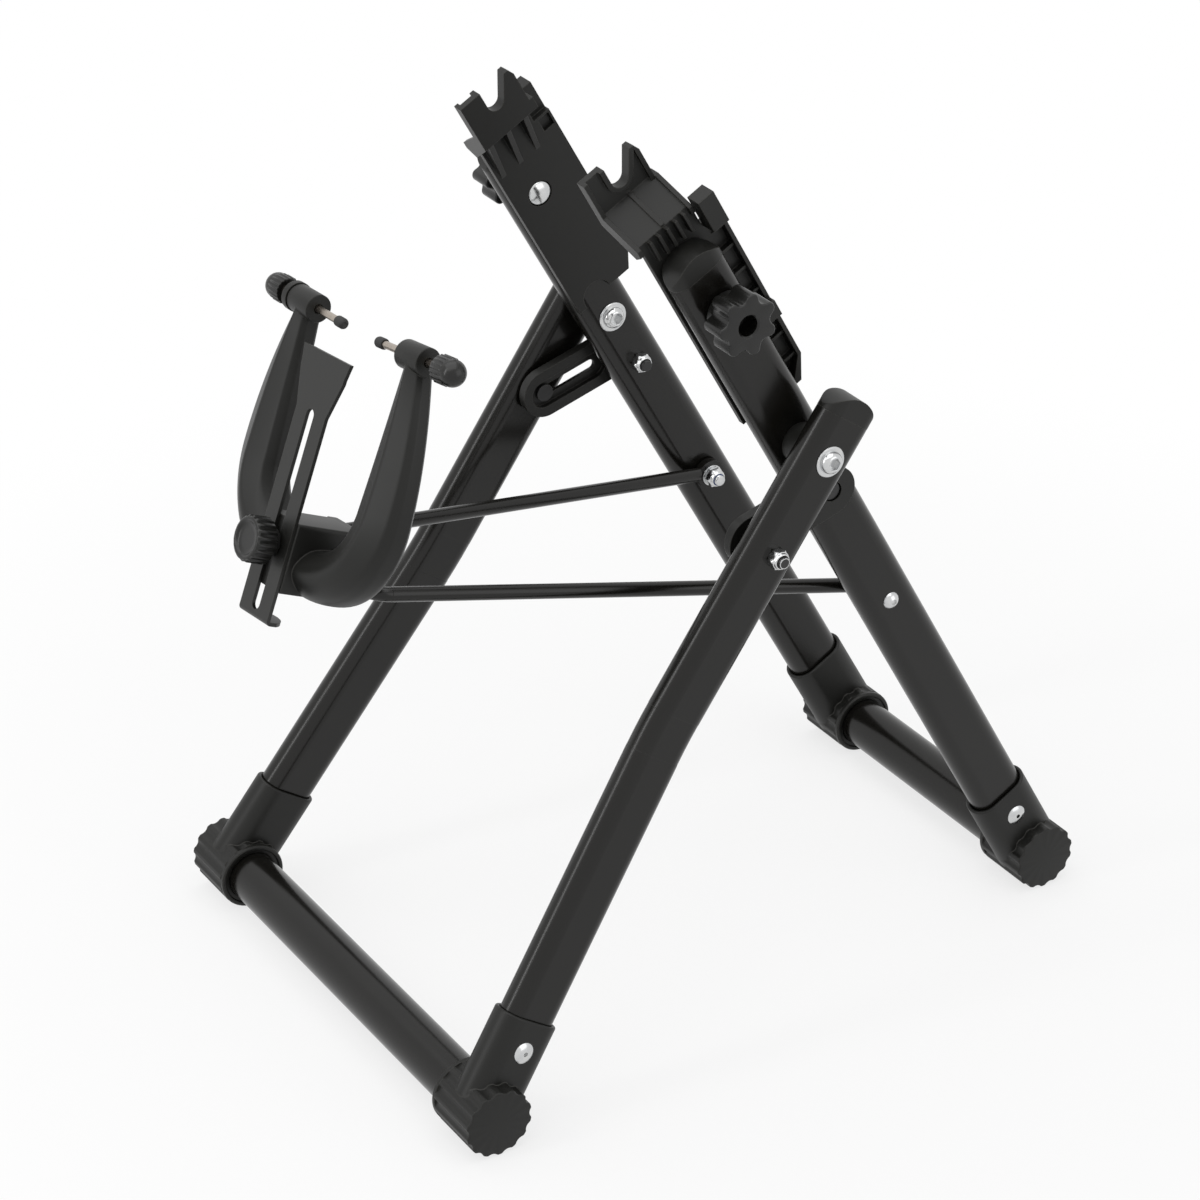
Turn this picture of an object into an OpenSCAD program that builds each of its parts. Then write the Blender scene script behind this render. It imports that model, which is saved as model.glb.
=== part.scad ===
// Folding wheel truing stand. A fork of two legs carries the wheel's axle in a pair of
// slotted hub brackets, a second pair of legs folds against it, and a caliper on a
// swinging rod feels for wobble at the rim.
// The origin lies on the ground, halfway between the front and the rear feet and halfway
// between the left and the right legs. Up is +Z. The front, where the caliper reaches
// out, is -X. Right is the -Y side, as someone standing in front of the caliper sees it.

/* [Stance] */
// Distance between the front and the rear foot axis
foot_spread = 393; // [370:1:415]
// Distance along a fork leg from the folding pivot to the rear foot axis
fork_reach = 356.5; // [345:0.5:370]
// Distance along a support leg from the folding pivot to the front foot axis
support_reach = 379.5; // [368:0.5:392]
// Length of a fork leg above the folding pivot, without its cap
fork_top = 123.5; // [118:0.5:126]
// Length of a support leg above the folding pivot, without its cap
support_top = 22.6; // [18:0.2:30]
// Distance between the middle planes of the two fork legs
fork_gauge = 179; // [174:1:186]
// Free space between a fork leg and the support leg beside it
leg_gap = 9.8; // [9.4:0.1:12]
// Distance from the folding pivot down to the bend of a support leg
support_bend = 165; // [140:1:190]
// Angle by which the lower part of a support leg leans outward
support_splay = 5.5; // [3:0.5:8]
// Radius of the bend of a support leg, at the middle of the tube
bend_radius = 250; // [200:5:300]

/* [Tubes] */
// Width of a leg tube, front to back
leg_w = 33; // [31:0.5:34]
// Thickness of a leg tube, left to right
leg_t = 17; // [16:0.5:18]
// Wall thickness of the tubes
tube_wall = 1.5; // [1.2:0.1:2]
// Diameter of the two cross tubes
cross_d = 28.6; // [26:0.2:30]
// Height of the domed cap on top of each leg
cap_rise = 12; // [9:0.5:14]

/* [Feet] */
// Diameter over the lobes of a foot
foot_d = 39; // [38:0.5:42]
// Number of lobes around a foot
foot_lobes = 14; // [12:2:18]
// Depth of the scallop between two lobes
foot_scallop = 1.3; // [0.8:0.1:1.8]
// Wall thickness of the collar around a leg
socket_wall = 2.5; // [2:0.1:3]
// Distance from the foot axis to the rim of the collar
collar_rise = 53; // [48:0.5:58]
// Distance from the foot axis to the rivet
rivet_rise = 36; // [32:0.5:40]
// Distance from the leg's middle plane to the outer face of the foot
foot_out = 18; // [16:0.5:22]
// Distance from the leg's middle plane to the inner face of the foot's ring
foot_in = 19; // [17:0.5:22]

/* [Fold links] */
// Distance from the folding pivot down to the link's bolt on the fork leg
link_drop = 36; // [33:0.5:38]
// Distance from the folding pivot down to the link's pin on the support leg
slot_drop = 56; // [53:0.5:59]
// Travel of the pin along the link's slot
slot_travel = 31.5; // [31:0.1:33]
// Width of a link
link_w = 28; // [26:0.5:30]
// Thickness of a link
link_t = 5.6; // [5:0.1:6]
// Thread diameter of the small bolts
small_bolt_d = 6; // [5:0.5:6]
// Diameter of the sleeve that the two frames turn on
sleeve_d = 11; // [10:0.5:12]

/* [Caliper arm] */
// Distance from the folding pivot down to the arm's bolts
arm_drop = 129; // [120:1:136]
// Distance from the arm's bolts to the base of the rod
arm_reach = 289.5; // [280:0.5:300]
// Angle by which the arm rises toward the front
arm_rise = 11.7; // [0:0.1:20]
// Diameter of the rod
rod_d = 8; // [7:0.2:9]
// Half the distance between the corners of the rod's base
rod_half_base = 36; // [33:0.5:40]
// Radius of the rod's two base bends, at its middle
rod_bend = 14; // [12:0.5:15]

/* [Caliper] */
// Angle by which the caliper leans back from upright
caliper_tilt = 24; // [14:0.2:30]
// Angle by which the caliper is turned about its clamp stud, right side up
caliper_cant = 6; // [0:0.5:7]
// Half the greatest width over the arms of the U
u_half = 74; // [70:0.5:78]
// Half the gap between the arms of the U
u_gap_half = 43; // [41:0.5:45]
// Height of the feeler pins above the rod
feeler_rise = 122.5; // [118:0.5:128]
// Length of the boss around a feeler pin
boss_len = 20; // [18:0.5:22]
// Diameter of the boss around a feeler pin
boss_d = 15; // [13.5:0.5:16]
// Thread diameter of the feeler pins
pin_d = 4; // [3.5:0.5:4.5]
// Distance from the middle to the tip of each feeler
feeler_gap_half = 15.8; // [12:0.2:18]
// Height of the clamp stud above the rod
stud_rise = 7.8; // [7.8:0.1:9]
// Width of the gauge plate at its top
gauge_top_w = 45; // [40:0.5:48]
// Width of the gauge plate's shank
gauge_w = 28; // [26:0.5:30]
// Diameter of the clamp knob
clamp_knob_d = 24.5; // [22:0.5:27]

/* [Hub brackets] */
// Inside distance between the two dropout plates
dropout_gap = 112; // [108:0.5:116]
// Width of the axle slot
slot_w = 10.4; // [10:0.1:11]
// Distance along the fork leg from the folding pivot to the axle's seat
axle_rise = 175.8; // [174:0.2:177]
// Wall thickness of the hub brackets
bracket_wall = 4; // [3.4:0.1:4.4]
// Distance from the folding pivot up to the bracket's bolt
knob_rise = 98; // [92:0.5:102]
// Diameter over the lobes of the star knob
star_d = 34; // [31:0.5:36]
// Number of lobes on the star knob
star_lobes = 7; // [6:1:8]
// Depth of the star knob, out from the leg
star_depth = 20; // [17:0.5:22]

/* [Fits] */
// Clearance all round where one piece sits in another
fit = 0.15; // [0.1:0.05:0.2]
// Radial clearance of a pin or bolt that turns or slides
run_fit = 0.05; // [0.03:0.01:0.08]
// Gap between pieces that move past each other
gap = 0.5; // [0.4:0.05:0.6]

/* [Hidden] */
$fn = 96;

LEFT = 1;
RIGHT = -1;
SIDES = [LEFT, RIGHT];
paint = "#1b1b1b";
moulding = "#232323";
silver = "#c9cacc";
rubber = "#2b2b2b";
// Overrun of every cut past the face that it opens
cut = 1;
// Stretch by which a bend reaches into the straight runs beside it
bend_lap = 1;
// Amount by which the bent stretch is drawn thinner than the straight runs
bend_draw = 0.1;

// Triangle of the two foot axes and the folding pivot
foot_r = foot_d / 2;
pivot_x = (pow(support_reach, 2) - pow(fork_reach, 2)) / (2 * foot_spread);
pivot_height = sqrt(pow(support_reach, 2) - pow(pivot_x + foot_spread / 2, 2));
pivot_z = foot_r + pivot_height;
fork_tilt = atan2(foot_spread / 2 - pivot_x, pivot_height);
support_tilt = atan2(foot_spread / 2 + pivot_x, pivot_height);

// Planes across the stand, as distances from the middle
fork_y = fork_gauge / 2;
fork_inner = fork_y - leg_t / 2;
fork_outer = fork_y + leg_t / 2;
support_inner = fork_outer + leg_gap;
support_y = support_inner + leg_t / 2;
support_outer = support_inner + leg_t;
lower_run = (support_reach - support_bend) / cos(support_splay);
front_foot_y = support_y + (support_reach - support_bend) * tan(support_splay);
bend_tangent = bend_radius * tan(support_splay / 2);

// Feet
leg_end_rise = cross_d / 2 + socket_wall;
plug_depth = leg_w / 2;
cap_seam = 2;
ring_t = 3;
ring_inset = 0.2;
mouth_depth = 1.5;
foot_end_wall = 3;
scallop_r = 4.6;
rivet_head_d = 12;
rivet_head_h = 1.9;
rivet_shank_d = 4.8;
rivet_mandrel_d = 2.4;
rivet_tail_d = 7;
rivet_tail_h = 3;

// Pivots and small hardware
bolt_head_d = 17;
bolt_head_h = 4.6;
bolt_socket_w = 6;
bolt_socket_depth = 2.6;
bolt_shank_d = 8;
spacer_d = 22;
nut_w = 10;
nut_h = 5;
nut_crown_h = 1.6;
small_head_d = 10;
small_head_h = 2.2;
washer_t = 1.2;
thread_out = 1.8;
link_floor = 2.4;
link_rim = 3.2;
slot_end_margin = 1;
arm_eye_d = 17;
arm_eye_t = 4.5;
arm_head_h = 3.2;

// Bracket and knob
flange_back = 28;
flange_front = 16;
flange_low = 19;
hook_low = 21;
back_corner = 7;
notch_x = -1.9;
notch_r = 8.9;
flange_top = 150;
back_top = 136;
ramp_top = 163;
ramp_low = 156;
plate_top = 185.6;
plate_front = 19.3;
plate_back = 15;
web_t = 2.4;
web_rise = 3;
pane_t = 2.2;
rim_t = 2.6;
gusset_t = 3;
gusset_low = 121;
gusset_xs = [-12, 0, 12];
comb_xs = [-11, -5.5, 0, 5.5, 11];
comb_t = 1.6;
comb_low = 138;
comb_rise = 4;
lug_rise = 10;
lug_len = 20;
lug_w = 10;
strip_rise = 6;
strip_rib_gap = 16;
low_lug = 71;
window_w = 7;
window_rise = 8;
carriage_d = 8;
carriage_head_d = 13.4;
carriage_head_h = 3.4;
star_hole_d = 11;
star_thread_depth = 8;
star_hub_d = 24;
star_hub_h = 5;
star_valley_share = 1.1;
knob_washer_d = 18;

// Caliper
u_floor = 11;
u_inner_r = 30;
u_bottom = -16;
u_outer_r = 60;
u_top_outer = 58;
u_top_inner = 48;
u_back_base = -2;
u_back_top = -18;
u_front_base = -37;
u_front_top = -30.6;
corner_steps = 8;
arm_steps = 5;
boss_x = -24.3;
boss_y = 52.5;
pin_tilt = 2.2;
tip_d = 5.8;
tip_len = 7;
tip_bore_depth = 4;
feeler_knob_d = 15;
feeler_knob_len = 18;
feeler_knob_inner = 21;
feeler_grip_len = 9;
feeler_ribs = 20;
feeler_rib_d = 1;
collar_d = 16;
collar_len = 4;
pad_w = 30;
pad_low = -15;
pad_high = 22;
pad_front = -38.5;
gauge_t = 2;
gauge_top = 107.5;
gauge_shoulder = 97;
gauge_waist = 77;
gauge_bottom = -32.5;
gauge_slot_w = 7;
gauge_slot_top = 75;
gauge_slot_low = -24.5;
gauge_tab = 12;
gauge_tab_bend = 2.5;
gauge_tab_r = 16;
gauge_notch = 2;
block_w = 40;
block_t = 10;
block_low = -10;
block_high = 21;
block_round = 5;
block_grip = 3;
stud_d = 6;
stud_head_d = 12;
stud_head_h = 3;
clamp_grip_len = 12;
clamp_hub_d = 15;
clamp_hub_len = 4.5;
clamp_dish = 1.6;
clamp_rim = 2.4;
clamp_ribs = 20;
clamp_rib_d = 1.8;

clamp_hub_x = pad_front - gauge_t - gap;
clamp_face_x = clamp_hub_x - clamp_hub_len - clamp_grip_len;
block_x = rod_d / 2 - block_grip;
cap_arc_h = cap_rise - cap_seam;
cap_arc_r = (pow(leg_w / 2, 2) + pow(cap_arc_h, 2)) / (2 * cap_arc_h);

// Places and directions

module at_side(side) {
    if (side == LEFT) children();
    else mirror([0, 1, 0]) children();
}

// Along a fork leg: +Z up the leg, +X its back face, origin at the folding pivot
module on_fork() {
    translate([pivot_x, 0, pivot_z]) rotate([0, -fork_tilt, 0]) children();
}

// Along a support leg above its bend: +Z up the leg, origin at the folding pivot
module on_support() {
    translate([pivot_x, 0, pivot_z]) rotate([0, support_tilt, 0]) children();
}

// Along a support leg below its bend: origin on the leg's middle line at the bend
module below_bend() {
    translate([0, support_y, -support_bend]) rotate([support_splay, 0, 0]) children();
}

// Along the arm: -X toward the caliper, origin between the arm's bolts
module on_arm() {
    on_fork() translate([0, 0, -arm_drop]) rotate([0, fork_tilt + arm_rise, 0]) children();
}

// On the middle line of the rod's base, level with the ground
module at_rod_base() {
    on_arm() translate([-arm_reach, 0, 0]) rotate([0, -arm_rise, 0]) children();
}

// In the caliper: +Z toward the feelers, -X its front, origin on the rod's base
module on_caliper() {
    at_rod_base() rotate([0, caliper_tilt, 0])
        translate([0, 0, stud_rise]) rotate([-caliper_cant, 0, 0])
            translate([0, 0, -stud_rise]) children();
}

// Along a feeler pin: +Y outward, origin in the middle of its boss
module on_feeler(side) {
    on_caliper() at_side(side)
        translate([boss_x, boss_y, feeler_rise]) rotate([pin_tilt, 0, 0]) children();
}

// Extrudes an outline drawn in X and Z from y0 to y1
module across(y0, y1) {
    translate([0, y1, 0]) rotate([90, 0, 0]) linear_extrude(y1 - y0) children();
}

// Extrudes an outline drawn in Y and Z from x0 to x1
module along(x0, x1) {
    translate([x0, 0, 0]) rotate([90, 0, 90]) linear_extrude(x1 - x0) children();
}

// Cylinder along Y from y0 to y1
module pin_y(d, y0, y1) {
    translate([0, y1, 0]) rotate([90, 0, 0]) cylinder(d = d, h = y1 - y0);
}

// Cylinder along X from x0 to x1
module pin_x(d, x0, x1) {
    translate([x0, 0, 0]) rotate([0, 90, 0]) cylinder(d = d, h = x1 - x0);
}

// Turns what is drawn along +Z so that it points along +Y
module outward() {
    rotate([-90, 0, 0]) children();
}

// Turns what is drawn along +Z so that it points along -Y
module inward() {
    rotate([90, 0, 0]) children();
}

// Shared shapes

// Flat oval with its width along X
module flat_oval(width, thickness) {
    square([width - thickness, thickness], center = true);
    for (end = [-1, 1])
        translate([end * (width - thickness) / 2, 0]) circle(d = thickness);
}

// Slot outline between two round ends on the Y axis
module slot_outline(width, low, high) {
    translate([-width / 2, low]) square([width, high - low]);
    for (end = [low, high]) translate([0, end]) circle(d = width);
}

// Low spherical cap of height h on the XY plane
module dome(d, h) {
    r = (pow(d / 2, 2) + pow(h, 2)) / (2 * h);
    intersection() {
        translate([0, 0, h - r]) sphere(r = r);
        cylinder(d = d, h = h);
    }
}

// Sweeps its children's section round a bend of radius r, from the X axis on about Z
module bend(r, angle) {
    lap = bend_lap / r * 180 / PI;
    rotate(-lap) rotate_extrude(angle = angle + 2 * lap) translate([r, 0]) children();
}

module hex(width, h) {
    cylinder(d = width / cos(30), h = h, $fn = 6);
}

module ring(outer_d, inner_d, h) {
    difference() {
        cylinder(d = outer_d, h = h);
        translate([0, 0, -cut]) cylinder(d = inner_d, h = h + 2 * cut);
    }
}

// Round-headed screw head with a hexagon socket, standing on the XY plane
module button_head(d, h, socket_w, socket_depth) {
    difference() {
        dome(d, h);
        translate([0, 0, h - socket_depth]) hex(socket_w, socket_depth + cut);
    }
}

// Lock nut with a rounded crown, on the XY plane, bored for its bolt
module lock_nut() {
    difference() {
        union() {
            hex(nut_w, nut_h);
            translate([0, 0, nut_h]) cylinder(d = nut_w - nut_crown_h, h = nut_crown_h);
        }
        translate([0, 0, -cut])
            cylinder(d = small_bolt_d + 2 * run_fit, h = nut_h + nut_crown_h + 2 * cut);
    }
}

// Legs and caps

// Straight piece of flat oval, from z0 to z1
module leg_run(width, thickness, z0, z1) {
    translate([0, 0, z0]) linear_extrude(z1 - z0) flat_oval(width, thickness);
}

module fork_leg(side) {
    low = leg_end_rise - fork_reach;
    color(paint) on_fork() at_side(side) translate([0, fork_y, 0]) difference() {
        leg_run(leg_w, leg_t, low, fork_top);
        leg_run(leg_w - 2 * tube_wall, leg_t - 2 * tube_wall, low - cut, fork_top + cut);
        pin_y(sleeve_d + 2 * run_fit, -leg_t, leg_t);
        for (z = [-link_drop, -arm_drop])
            translate([0, 0, z]) pin_y(small_bolt_d + 2 * run_fit, -leg_t, leg_t);
        translate([0, 0, knob_rise]) pin_y(carriage_d + 2 * run_fit, -leg_t, leg_t);
        translate([0, 0, rivet_rise - fork_reach])
            pin_y(rivet_shank_d + 2 * run_fit, 0, leg_t);
    }
}

// Flat oval that follows a support leg through its bend
module bent_run(width, thickness, z_top, run_end) {
    translate([0, support_y, 0])
        leg_run(width, thickness, bend_tangent - support_bend, z_top);
    translate([0, support_y + bend_radius, bend_tangent - support_bend])
        rotate([-90, 0, 0]) rotate([0, 90, 0]) bend(bend_radius, support_splay)
            rotate(90) flat_oval(width - 2 * bend_draw, thickness - 2 * bend_draw);
    below_bend() leg_run(width, thickness, -run_end, -bend_tangent);
}

module support_leg(side) {
    run_end = lower_run - leg_end_rise;
    color(paint) on_support() at_side(side) difference() {
        bent_run(leg_w, leg_t, support_top, run_end);
        bent_run(leg_w - 2 * tube_wall, leg_t - 2 * tube_wall, support_top + cut,
            run_end + cut);
        pin_y(sleeve_d + 2 * run_fit, support_inner - cut, support_outer + cut);
        translate([0, 0, -slot_drop])
            pin_y(small_bolt_d + 2 * run_fit, support_inner - cut, support_outer + cut);
        below_bend() translate([0, 0, rivet_rise - lower_run])
            pin_y(rivet_shank_d + 2 * run_fit, 0, leg_t);
    }
}

// Domed end cap with a hollow plug that fills the tube
module leg_cap(top) {
    bore_w = leg_w - 2 * tube_wall - 2 * fit;
    bore_t = leg_t - 2 * tube_wall - 2 * fit;
    color(moulding) {
        intersection() {
            leg_run(leg_w, leg_t, top, top + cap_rise);
            translate([0, 0, top + cap_rise - cap_arc_r])
                pin_y(2 * cap_arc_r, -leg_t, leg_t);
        }
        difference() {
            leg_run(bore_w, bore_t, top - plug_depth, top);
            leg_run(bore_w - 2 * socket_wall, bore_t - 2 * socket_wall,
                top - plug_depth - cut, top);
        }
    }
}

module fork_cap(side) {
    on_fork() at_side(side) translate([0, fork_y, 0]) leg_cap(fork_top);
}

module support_cap(side) {
    on_support() at_side(side) translate([0, support_y, 0]) leg_cap(support_top);
}

// Feet

// Outline of a foot: flat lands with a scallop between each pair, one land at the bottom
module foot_outline(turn) {
    corner_r = foot_r / cos(180 / foot_lobes);
    corners = [for (i = [0 : foot_lobes - 1]) turn - 90 + (i + 0.5) * 360 / foot_lobes];
    difference() {
        polygon([for (a = corners) corner_r * [cos(a), sin(a)]]);
        for (a = corners)
            rotate(a) translate([foot_r - foot_scallop + scallop_r, 0]) circle(r = scallop_r);
    }
}

// Foot around the end of a cross tube, with the collar that a leg stands in. The origin
// is on the foot axis at the leg, +Y is outward and +Z is up the leg before it leans.
module socket(tilt, lean) {
    color(moulding) difference() {
        union() {
            across(-foot_in, foot_out) foot_outline(tilt);
            pin_y(foot_d - 2 * ring_inset, -foot_in, ring_t - foot_in);
            rotate([lean, 0, 0])
                leg_run(leg_w + 2 * socket_wall, leg_t + 2 * socket_wall, 0, collar_rise);
        }
        pin_y(cross_d + 2 * fit, -foot_in - leg_t, foot_out - foot_end_wall);
        pin_y(cross_d + 2 * socket_wall, -foot_in - cut, mouth_depth - foot_in);
        rotate([lean, 0, 0]) {
            leg_run(leg_w + 2 * fit, leg_t + 2 * fit, leg_end_rise, collar_rise + cut);
            translate([0, 0, rivet_rise]) pin_y(rivet_shank_d + 2 * run_fit, 0, leg_t);
        }
    }
}

module rear_socket(side) {
    on_fork() at_side(side) translate([0, fork_y, -fork_reach]) socket(-fork_tilt, 0);
}

module front_socket(side) {
    on_support() at_side(side) translate([0, front_foot_y, -support_reach])
        socket(support_tilt, support_splay);
}

module cross_tube(half) {
    color(paint) difference() {
        pin_y(cross_d, -half, half);
        pin_y(cross_d - 2 * tube_wall, -half - cut, half + cut);
    }
}

module rear_cross_tube() {
    on_fork() translate([0, 0, -fork_reach]) cross_tube(fork_y + foot_out - foot_end_wall);
}

module front_cross_tube() {
    on_support() translate([0, 0, -support_reach])
        cross_tube(front_foot_y + foot_out - foot_end_wall);
}

// Blind rivet through the collar and the near wall of the leg; +Y is outward
module rivet() {
    face = leg_t / 2 + socket_wall;
    tail = leg_t / 2 - tube_wall - rivet_tail_h;
    color(silver) difference() {
        union() {
            translate([0, face, 0]) outward() dome(rivet_head_d, rivet_head_h);
            pin_y(rivet_shank_d, tail, face);
            pin_y(rivet_tail_d, tail, leg_t / 2 - tube_wall);
        }
        pin_y(rivet_mandrel_d, face, face + rivet_head_h + cut);
    }
}

module rear_rivets() {
    for (side = SIDES)
        on_fork() at_side(side) translate([0, fork_y, rivet_rise - fork_reach]) rivet();
}

module front_rivets() {
    for (side = SIDES)
        on_support() at_side(side) below_bend() translate([0, 0, rivet_rise - lower_run])
            rivet();
}

// Folding pivot and links

module pivot_bolts() {
    color(silver) for (side = SIDES) on_fork() at_side(side) {
        translate([0, support_outer, 0]) outward()
            button_head(bolt_head_d, bolt_head_h, bolt_socket_w, bolt_socket_depth);
        pin_y(bolt_shank_d, fork_inner, support_outer);
    }
}

module pivot_sleeves() {
    color(silver) for (side = SIDES) on_fork() at_side(side) difference() {
        union() {
            translate([0, fork_inner, 0]) inward()
                button_head(bolt_head_d, bolt_head_h, bolt_socket_w, bolt_socket_depth);
            pin_y(sleeve_d, fork_inner, support_outer - gap);
        }
        pin_y(bolt_shank_d + 2 * run_fit, fork_inner, support_outer);
    }
}

module pivot_spacers() {
    color(moulding) for (side = SIDES) on_fork() at_side(side)
        translate([0, fork_outer, 0]) outward()
            ring(spacer_d, sleeve_d + 2 * run_fit, leg_gap - gap);
}

link_inner = fork_outer + gap;
link_outer = link_inner + link_t;
link_angle = atan2(
    slot_drop * sin(fork_tilt + support_tilt),
    slot_drop * cos(fork_tilt + support_tilt) - link_drop
);
link_span = sqrt(
    pow(slot_drop, 2) + pow(link_drop, 2)
    - 2 * slot_drop * link_drop * cos(fork_tilt + support_tilt)
);

// Along a link: -Z toward the pin in its slot, origin at the bolt on the fork leg
module on_link() {
    on_fork() translate([0, 0, -link_drop]) rotate([0, link_angle, 0]) children();
}

module link_bolts() {
    color(silver) for (side = SIDES)
        on_fork() at_side(side) translate([0, 0, -link_drop]) {
            translate([0, link_inner + link_floor, 0]) outward()
                cylinder(d = small_head_d, h = small_head_h);
            pin_y(small_bolt_d, fork_inner - nut_h - nut_crown_h - thread_out,
                link_inner + link_floor);
        }
}

module link_nuts() {
    color(silver) for (side = SIDES)
        on_fork() at_side(side) translate([0, fork_inner, -link_drop]) inward() lock_nut();
}

// Moulded link: a slotted floor with a raised rim round the slot and a recessed eye
module link(side) {
    slot_high = slot_travel - link_span;
    color(moulding) on_link() at_side(side) difference() {
        across(link_inner, link_outer) slot_outline(link_w, -link_span, 0);
        across(link_inner - cut, link_outer + cut)
            slot_outline(small_bolt_d + 2 * run_fit, -link_span, slot_high);
        across(link_inner - cut, link_outer - link_floor)
            slot_outline(link_w - 2 * link_rim - small_bolt_d, -link_span - slot_end_margin,
                slot_high + slot_end_margin);
        pin_y(small_bolt_d + 2 * run_fit, link_inner - cut, link_outer + cut);
        pin_y(small_head_d + 2 * gap, link_inner + link_floor, link_outer + cut);
    }
}

// Headed pin that rides in the slot of a link
module slot_pin(side) {
    floor_y = link_outer - link_floor;
    color(silver) on_link() at_side(side) translate([0, 0, -link_span]) {
        pin_y(small_head_d, floor_y - small_head_h, floor_y - run_fit);
        pin_y(small_bolt_d, floor_y - small_head_h, support_inner - 2 * gap);
        pin_y(small_head_d, link_outer + run_fit, support_inner - 2 * gap);
    }
}

module slot_bolts() {
    color(silver) for (side = SIDES)
        on_support() at_side(side) translate([0, 0, -slot_drop])
            pin_y(small_bolt_d, support_inner - gap,
                support_outer + nut_h + nut_crown_h + thread_out);
}

module slot_nuts() {
    color(silver) for (side = SIDES)
        on_support() at_side(side) translate([0, support_outer, -slot_drop]) outward()
            lock_nut();
}

// Caliper arm

eye_y = fork_inner - washer_t - arm_eye_t / 2;
rod_lean = atan2(eye_y - rod_half_base, arm_reach);
rod_turn = 90 - rod_lean;
rod_tangent = rod_bend * tan(rod_turn / 2);

// One side of the rod: round the bend from its base and on to the eye
module rod_side() {
    straight = sqrt(pow(arm_reach, 2) + pow(eye_y - rod_half_base, 2));
    translate([rod_bend - arm_reach, rod_half_base - rod_tangent, 0])
        rotate(180 - rod_turn) bend(rod_bend, rod_turn) circle(d = rod_d - 2 * bend_draw);
    translate([-arm_reach, rod_half_base, 0]) rotate(rod_lean)
        pin_x(rod_d, rod_tangent, straight - arm_eye_d / 4);
    translate([0, eye_y, 0]) pin_y(arm_eye_d, -arm_eye_t / 2, arm_eye_t / 2);
}

module arm_rod() {
    base = rod_half_base - rod_tangent;
    color(paint) on_arm() difference() {
        union() {
            translate([-arm_reach, 0, 0]) pin_y(rod_d, -base, base);
            for (side = SIDES) at_side(side) rod_side();
        }
        for (side = SIDES) at_side(side) translate([0, eye_y, 0]) {
            pin_y(small_bolt_d + 2 * run_fit, -arm_eye_t, arm_eye_t);
            pin_y(arm_eye_d + 2 * gap, arm_eye_t / 2, arm_eye_t / 2 + rod_d);
            pin_y(arm_eye_d + 2 * gap, -arm_eye_t / 2 - rod_d, -arm_eye_t / 2);
        }
    }
}

module arm_bolts() {
    tail = eye_y - arm_eye_t / 2 - washer_t - nut_h - nut_crown_h - thread_out;
    color(silver) for (side = SIDES)
        on_fork() at_side(side) translate([0, 0, -arm_drop]) {
            translate([0, fork_outer, 0]) outward()
                button_head(small_head_d, arm_head_h, bolt_socket_w / 2, washer_t);
            pin_y(small_bolt_d, tail, fork_outer);
        }
}

module arm_spacers() {
    color(silver) for (side = SIDES)
        on_fork() at_side(side) translate([0, 0, -arm_drop])
            for (face = [fork_inner, eye_y - arm_eye_t / 2])
                translate([0, face, 0]) inward()
                    ring(small_head_d + 2 * washer_t, small_bolt_d + 2 * run_fit,
                        washer_t - run_fit);
}

module arm_nuts() {
    color(silver) for (side = SIDES)
        on_fork() at_side(side)
            translate([0, eye_y - arm_eye_t / 2 - washer_t, -arm_drop]) inward()
                lock_nut();
}

// Caliper

// Rows of Y and Z places down the inner and the outer edge of half the U, from the
// middle of its base, round the corner, to the boss
function edge_row(floor_z, half, r, top_half, power) = concat(
    [[0, floor_z]],
    [for (i = [0 : corner_steps]) let (a = 90 * i / corner_steps)
        [half - r + r * sin(a), floor_z + r * (1 - cos(a))]],
    [for (i = [1 : arm_steps]) let (share = i / arm_steps)
        [half + (top_half - half) * pow(share, power),
            floor_z + r + (feeler_rise - floor_z - r) * share]]
);
u_inner_row = edge_row(u_floor, u_gap_half, u_inner_r, u_top_inner, 1);
u_outer_row = edge_row(u_bottom, u_half, u_outer_r, u_top_outer, 2);
u_last = len(u_inner_row) - 1;

// Section of the U as shares of its width, from the inner edge, and of its depth, from
// the back: a flat back, rounded sides and a ridge along the front
section_shares = [
    [0.1, 0], [0, 0.15], [0, 0.55], [0.1, 0.8], [0.46, 1],
    [0.54, 1], [0.92, 0.72], [1, 0.5], [1, 0.15], [0.9, 0]
];

function u_ring(k) = let (
    i = abs(k),
    side = k < 0 ? -1 : 1,
    share = i / u_last,
    back = u_back_base + (u_back_top - u_back_base) * share,
    front = u_front_base + (u_front_top - u_front_base) * share,
    inner = u_inner_row[i],
    outer = u_outer_row[i]
) [for (s = section_shares) let (p = inner + (outer - inner) * s[0])
    [back + (front - back) * s[1], side * p[0], p[1]]];

module u_loft() {
    n = len(section_shares);
    rings = [for (k = [-u_last : u_last]) u_ring(k)];
    points = [for (one = rings) for (p = one) p];
    last = (len(rings) - 1) * n;
    sides = [for (r = [0 : len(rings) - 2]) for (j = [0 : n - 1]) let (
        a = r * n + j, b = r * n + (j + 1) % n
    ) each [[a, b, b + n], [a, b + n, a + n]]];
    first_end = [[for (j = [0 : n - 1]) n - 1 - j]];
    last_end = [[for (j = [0 : n - 1]) last + j]];
    polyhedron(points, concat(sides, first_end, last_end));
}

module caliper_body() {
    color(moulding) difference() {
        on_caliper() {
            u_loft();
            along(pad_front, u_back_base)
                translate([-pad_w / 2, pad_low]) square([pad_w, pad_high - pad_low]);
            for (side = SIDES) at_side(side)
                translate([boss_x, boss_y, feeler_rise]) rotate([pin_tilt, 0, 0])
                    pin_y(boss_d, -boss_len / 2, boss_len / 2);
        }
        for (side = SIDES) on_feeler(side)
            pin_y(pin_d + 2 * run_fit, -boss_len, boss_len);
        on_caliper() translate([0, 0, stud_rise])
            pin_x(stud_d + 2 * run_fit, pad_front - cut, cut);
        at_rod_base() pin_y(rod_d + 2 * run_fit, -u_half, u_half);
    }
}

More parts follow.
